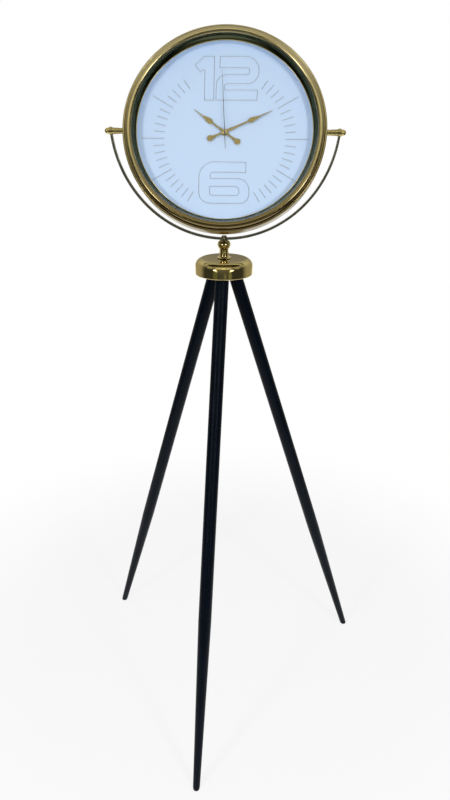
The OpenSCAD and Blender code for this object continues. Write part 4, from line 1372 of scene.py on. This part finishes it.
@dataclass
class Studio:
    """Pale floor, lamps, mirrored surroundings and the camera.

    Attributes:
        backdrop: Brightness of the white background.
        fill: Even light on matt surfaces.
        gloom: Darkest surroundings that metal mirrors.
        floor_r: Radius of the floor, in metres.
        soft_light: Wide soft boxes that light matt surfaces.
        mirrored: Backdrop, walls and strips that metal mirrors, and the mirror images of the lamps.
        floor_colour: Colour of the floor where the shadow lies.
        shade_r: Distance from the middle at which the floor starts to fade into the backdrop, in metres.
        shade_share: Share of the backdrop's white in the floor within that distance.
        fade_end: Share of the floor's radius at which it is all white.
        floor_at: Place of its middle, in metres.
        lamp_aim: Point that the lamps face, in metres.
        lamp_azimuth: Their direction to each side of the front, in degrees.
        lamp_elevation: Their height above the aim's horizon, in degrees.
        lamp_distance: Their distance from the aim, in metres.
        lamp_size: Their width, in metres.
        lamp_watts: Power of each.
        eye: Place of the camera, in metres.
        gaze: Its pan, its pitch downward and its roll, in degrees.
        focal_px: Its focal length, in pixels of the photograph.
        photo_px: Height of the photograph, in pixels.
        sensor_mm: Width of the camera's sensor, in millimetres.
    """

    backdrop: float = 1.0
    fill: Colour = (0.20, 0.2025, 0.2075)
    gloom: Colour = (0.045, 0.045, 0.040)
    floor_r: float = 1.15
    floor_colour: Colour = (0.93, 0.93, 0.93)
    shade_r: float = 0.45
    shade_share: float = 0.85
    fade_end: float = 0.97
    floor_at: Spot = (0.0, 0.1, -0.0005)
    lamp_aim: Spot = (0.0, 0.0, 1.04)
    lamp_azimuth: float = 34.0
    lamp_elevation: float = 13.0
    lamp_distance: float = 2.2
    lamp_size: float = 0.38
    lamp_watts: float = 17.0
    eye: Spot = (0.0540, -1.2827, 1.3237)
    gaze: tuple[float, float, float] = (-2.25, 24.83, 0.36)
    focal_px: float = 671.6
    photo_px: float = 800.0
    sensor_mm: float = 36.0
    soft_light: tuple[Panel, ...] = (Panel(0, 50, 42, 24, (0.34, 0.34, 0.34)),)
    mirrored: tuple[Panel, ...] = (
        Panel(180, -30, 33, 5, (0.90, 0.90, 0.91)),
        Panel(180, 18, 14, 8, (0.13, 0.12, 0.10)),
        Panel(180, 78, 46, 26, (0.52, 0.50, 0.42)),
        Panel(0, 22, 30, 20, (0.09, 0.09, 0.07)),
        Panel(0, -60, 34, 12, (0.34, 0.33, 0.27)),
        Panel(130, 0, 36, 18, (0.36, 0.33, 0.25)),
        Panel(-130, 0, 36, 18, (0.36, 0.33, 0.25)),
        Panel(0, 40, 9, 5, (0.85, 0.80, 0.50)),
        Panel(24, 38, 9, 5, (0.60, 0.56, 0.35)),
        Panel(-24, 38, 9, 5, (0.60, 0.56, 0.35)),
        Panel(62, 33, 10, 6, (0.26, 0.24, 0.16)),
        Panel(-62, 33, 10, 6, (0.26, 0.24, 0.16)),
        Panel(34, 13, 6, 1.5, (9.0, 8.8, 8.0)),
        Panel(-34, 13, 6, 1.5, (9.0, 8.8, 8.0)),
        Panel(27, -1, 4, 3, (1.3, 1.2, 0.8)),
        Panel(-27, -1, 4, 3, (1.3, 1.2, 0.8)),
        Panel(-32, -15, 7, 5, (0.10, 0.11, 0.03)),
        Panel(27, -15, 5, 4, (0.16, 0.17, 0.07)),
        Panel(8, -15, 3, 3, (0.12, 0.12, 0.05)),
    )

    @staticmethod
    def toward(azimuth: float, elevation: float) -> Vector:
        """Direction of an azimuth and an elevation, given in degrees."""
        a, e = math.radians(azimuth), math.radians(elevation)
        return Vector((math.sin(a) * math.cos(e), -math.cos(a) * math.cos(e), math.sin(e)))

    def _panels(self, tree: bpy.types.NodeTree, base: Colour, panels: Sequence[Panel]) -> Value:
        """Adds panels to an even light.

        Args:
            tree: Node tree of the world.
            base: The even light.
            panels: The panels in it.

        Returns:
            The light from each direction.
        """
        heading = add_node(tree, "TexCoord").outputs["Generated"]
        smallest = 0.5
        light: Value = base
        for panel in panels:
            ends = {0: heading, 1: self.toward(panel.azimuth, panel.elevation)}
            nearness = add_node(tree, "VectorMath", ends, operation="DOT_PRODUCT").outputs["Value"]
            outer, inner = panel.spread + panel.soft, max(panel.spread - panel.soft, smallest)
            share = spread(nearness, math.cos(math.radians(outer)), math.cos(math.radians(inner)),
                           rise="SMOOTHSTEP")
            light = blend(share, light, panel.colour, "ADD")
        return light

    def surroundings(self) -> None:
        """Makes the world: white behind the clock, soft light on matt surfaces, and a room for mirrors."""
        world = bpy.data.worlds.new("studio")
        bpy.context.scene.world = world
        world.use_nodes = True
        tree = world.node_tree
        tree.nodes.clear()
        rays = add_node(tree, "LightPath").outputs
        room = blend(rays["Is Glossy Ray"], self._panels(tree, self.fill, self.soft_light),
                     self._panels(tree, self.gloom, self.mirrored))
        open_air = join("MAXIMUM", rays["Is Camera Ray"], rays["Is Transmission Ray"])
        white = (self.backdrop, self.backdrop, self.backdrop)
        background = add_node(tree, "Background", {"Color": blend(open_air, room, white)})
        add_node(tree, "OutputWorld", {"Surface": background.outputs["Background"]})

    def floor_paint(self) -> bpy.types.Material:
        """Makes the floor's surface: pale paint under the clock that fades into the backdrop's white.

        Returns:
            The Blender material.
        """
        paint = bpy.data.materials.new("pale_floor")
        paint.use_nodes = True
        tree = paint.node_tree
        shader = feed(tree.nodes["Principled BSDF"], {
            "Base Color": self.floor_colour, "Roughness": 0.9, "Specular IOR Level": 0.0})
        glow = add_node(tree, "Emission", {"Color": (self.backdrop, self.backdrop, self.backdrop)})
        rays = add_node(tree, "LightPath").outputs
        seen = join("MAXIMUM", join("MAXIMUM", rays["Is Camera Ray"], rays["Is Glossy Ray"]),
                    rays["Is Transmission Ray"])
        place = {0: add_node(tree, "TexCoord").outputs["Object"]}
        reach = add_node(tree, "VectorMath", place, operation="LENGTH").outputs["Value"]
        fade = spread(reach, self.shade_r, self.floor_r * self.fade_end, self.shade_share, 1.0, "SMOOTHSTEP")
        mix = add_node(tree, "MixShader", {
            "Fac": join("MULTIPLY", seen, fade), 1: shader.outputs["BSDF"], 2: glow.outputs["Emission"]})
        feed(tree.nodes["Material Output"], {"Surface": mix.outputs["Shader"]})
        return paint

    def floor(self) -> None:
        """Lays the pale round floor that keeps the clock's soft shadow."""
        mesh = bmesh.new()
        bmesh.ops.create_circle(mesh, cap_ends=True, segments=128, radius=self.floor_r)
        data = bpy.data.meshes.new("floor")
        mesh.to_mesh(data)
        mesh.free()
        data.materials.append(self.floor_paint())
        floor = bpy.data.objects.new("floor", data)
        floor.location = self.floor_at
        bpy.context.scene.collection.objects.link(floor)

    def lamps(self) -> None:
        """Hangs two round soft lamps for matt surfaces; the room holds their mirror images."""
        aim = Vector(self.lamp_aim)
        for name, side in SIDES:
            data = bpy.data.lights.new(f"lamp_{name}", "AREA")
            data.shape = "DISK"
            data.size = self.lamp_size
            data.energy = self.lamp_watts
            lamp = bpy.data.objects.new(f"lamp_{name}", data)
            out = self.toward(side * self.lamp_azimuth, self.lamp_elevation)
            lamp.location = aim + out * self.lamp_distance
            lamp.rotation_euler = (aim - lamp.location).to_track_quat("-Z", "Y").to_euler()
            lamp.visible_glossy = False
            bpy.context.scene.collection.objects.link(lamp)

    def camera(self) -> None:
        """Puts the camera where the photograph was taken from."""
        pan, pitch, roll = (math.radians(angle) for angle in self.gaze)
        ahead = Vector((math.sin(pan) * math.cos(pitch), math.cos(pan) * math.cos(pitch), -math.sin(pitch)))
        right = Vector((math.cos(pan), -math.sin(pan), 0))
        up = right.cross(ahead)
        across = right * math.cos(roll) + up * math.sin(roll)
        above = up * math.cos(roll) - right * math.sin(roll)
        data = bpy.data.cameras.new("photo_camera")
        data.sensor_width = self.sensor_mm
        data.lens = self.focal_px / self.photo_px * self.sensor_mm
        data.clip_start = 0.05
        camera = bpy.data.objects.new("photo_camera", data)
        turn = Matrix((across, above, -ahead)).transposed()
        camera.matrix_world = Matrix.Translation(self.eye) @ turn.to_4x4()
        bpy.context.scene.collection.objects.link(camera)
        bpy.context.scene.camera = camera

    def build(self) -> None:
        """Makes the surroundings, the floor, the lamps and the camera."""
        bpy.context.scene.view_settings.view_transform = "Standard"
        self.camera()
        self.surroundings()
        self.floor()
        self.lamps()


def main() -> None:
    """Builds and dresses the clock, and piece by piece."""
    logging.basicConfig(level=logging.INFO, format="%(message)s")
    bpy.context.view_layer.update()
    head = Head()
    parts = (Tripod(), Hub(), Stem(), Yoke(), Pivots(head), Case(head), Dial(head), Hands(head), Movement(),
             Studio())
    for part in parts:
        part.build()
        log.info("%s done", type(part).__name__)


if __name__ == "__main__":
    main()
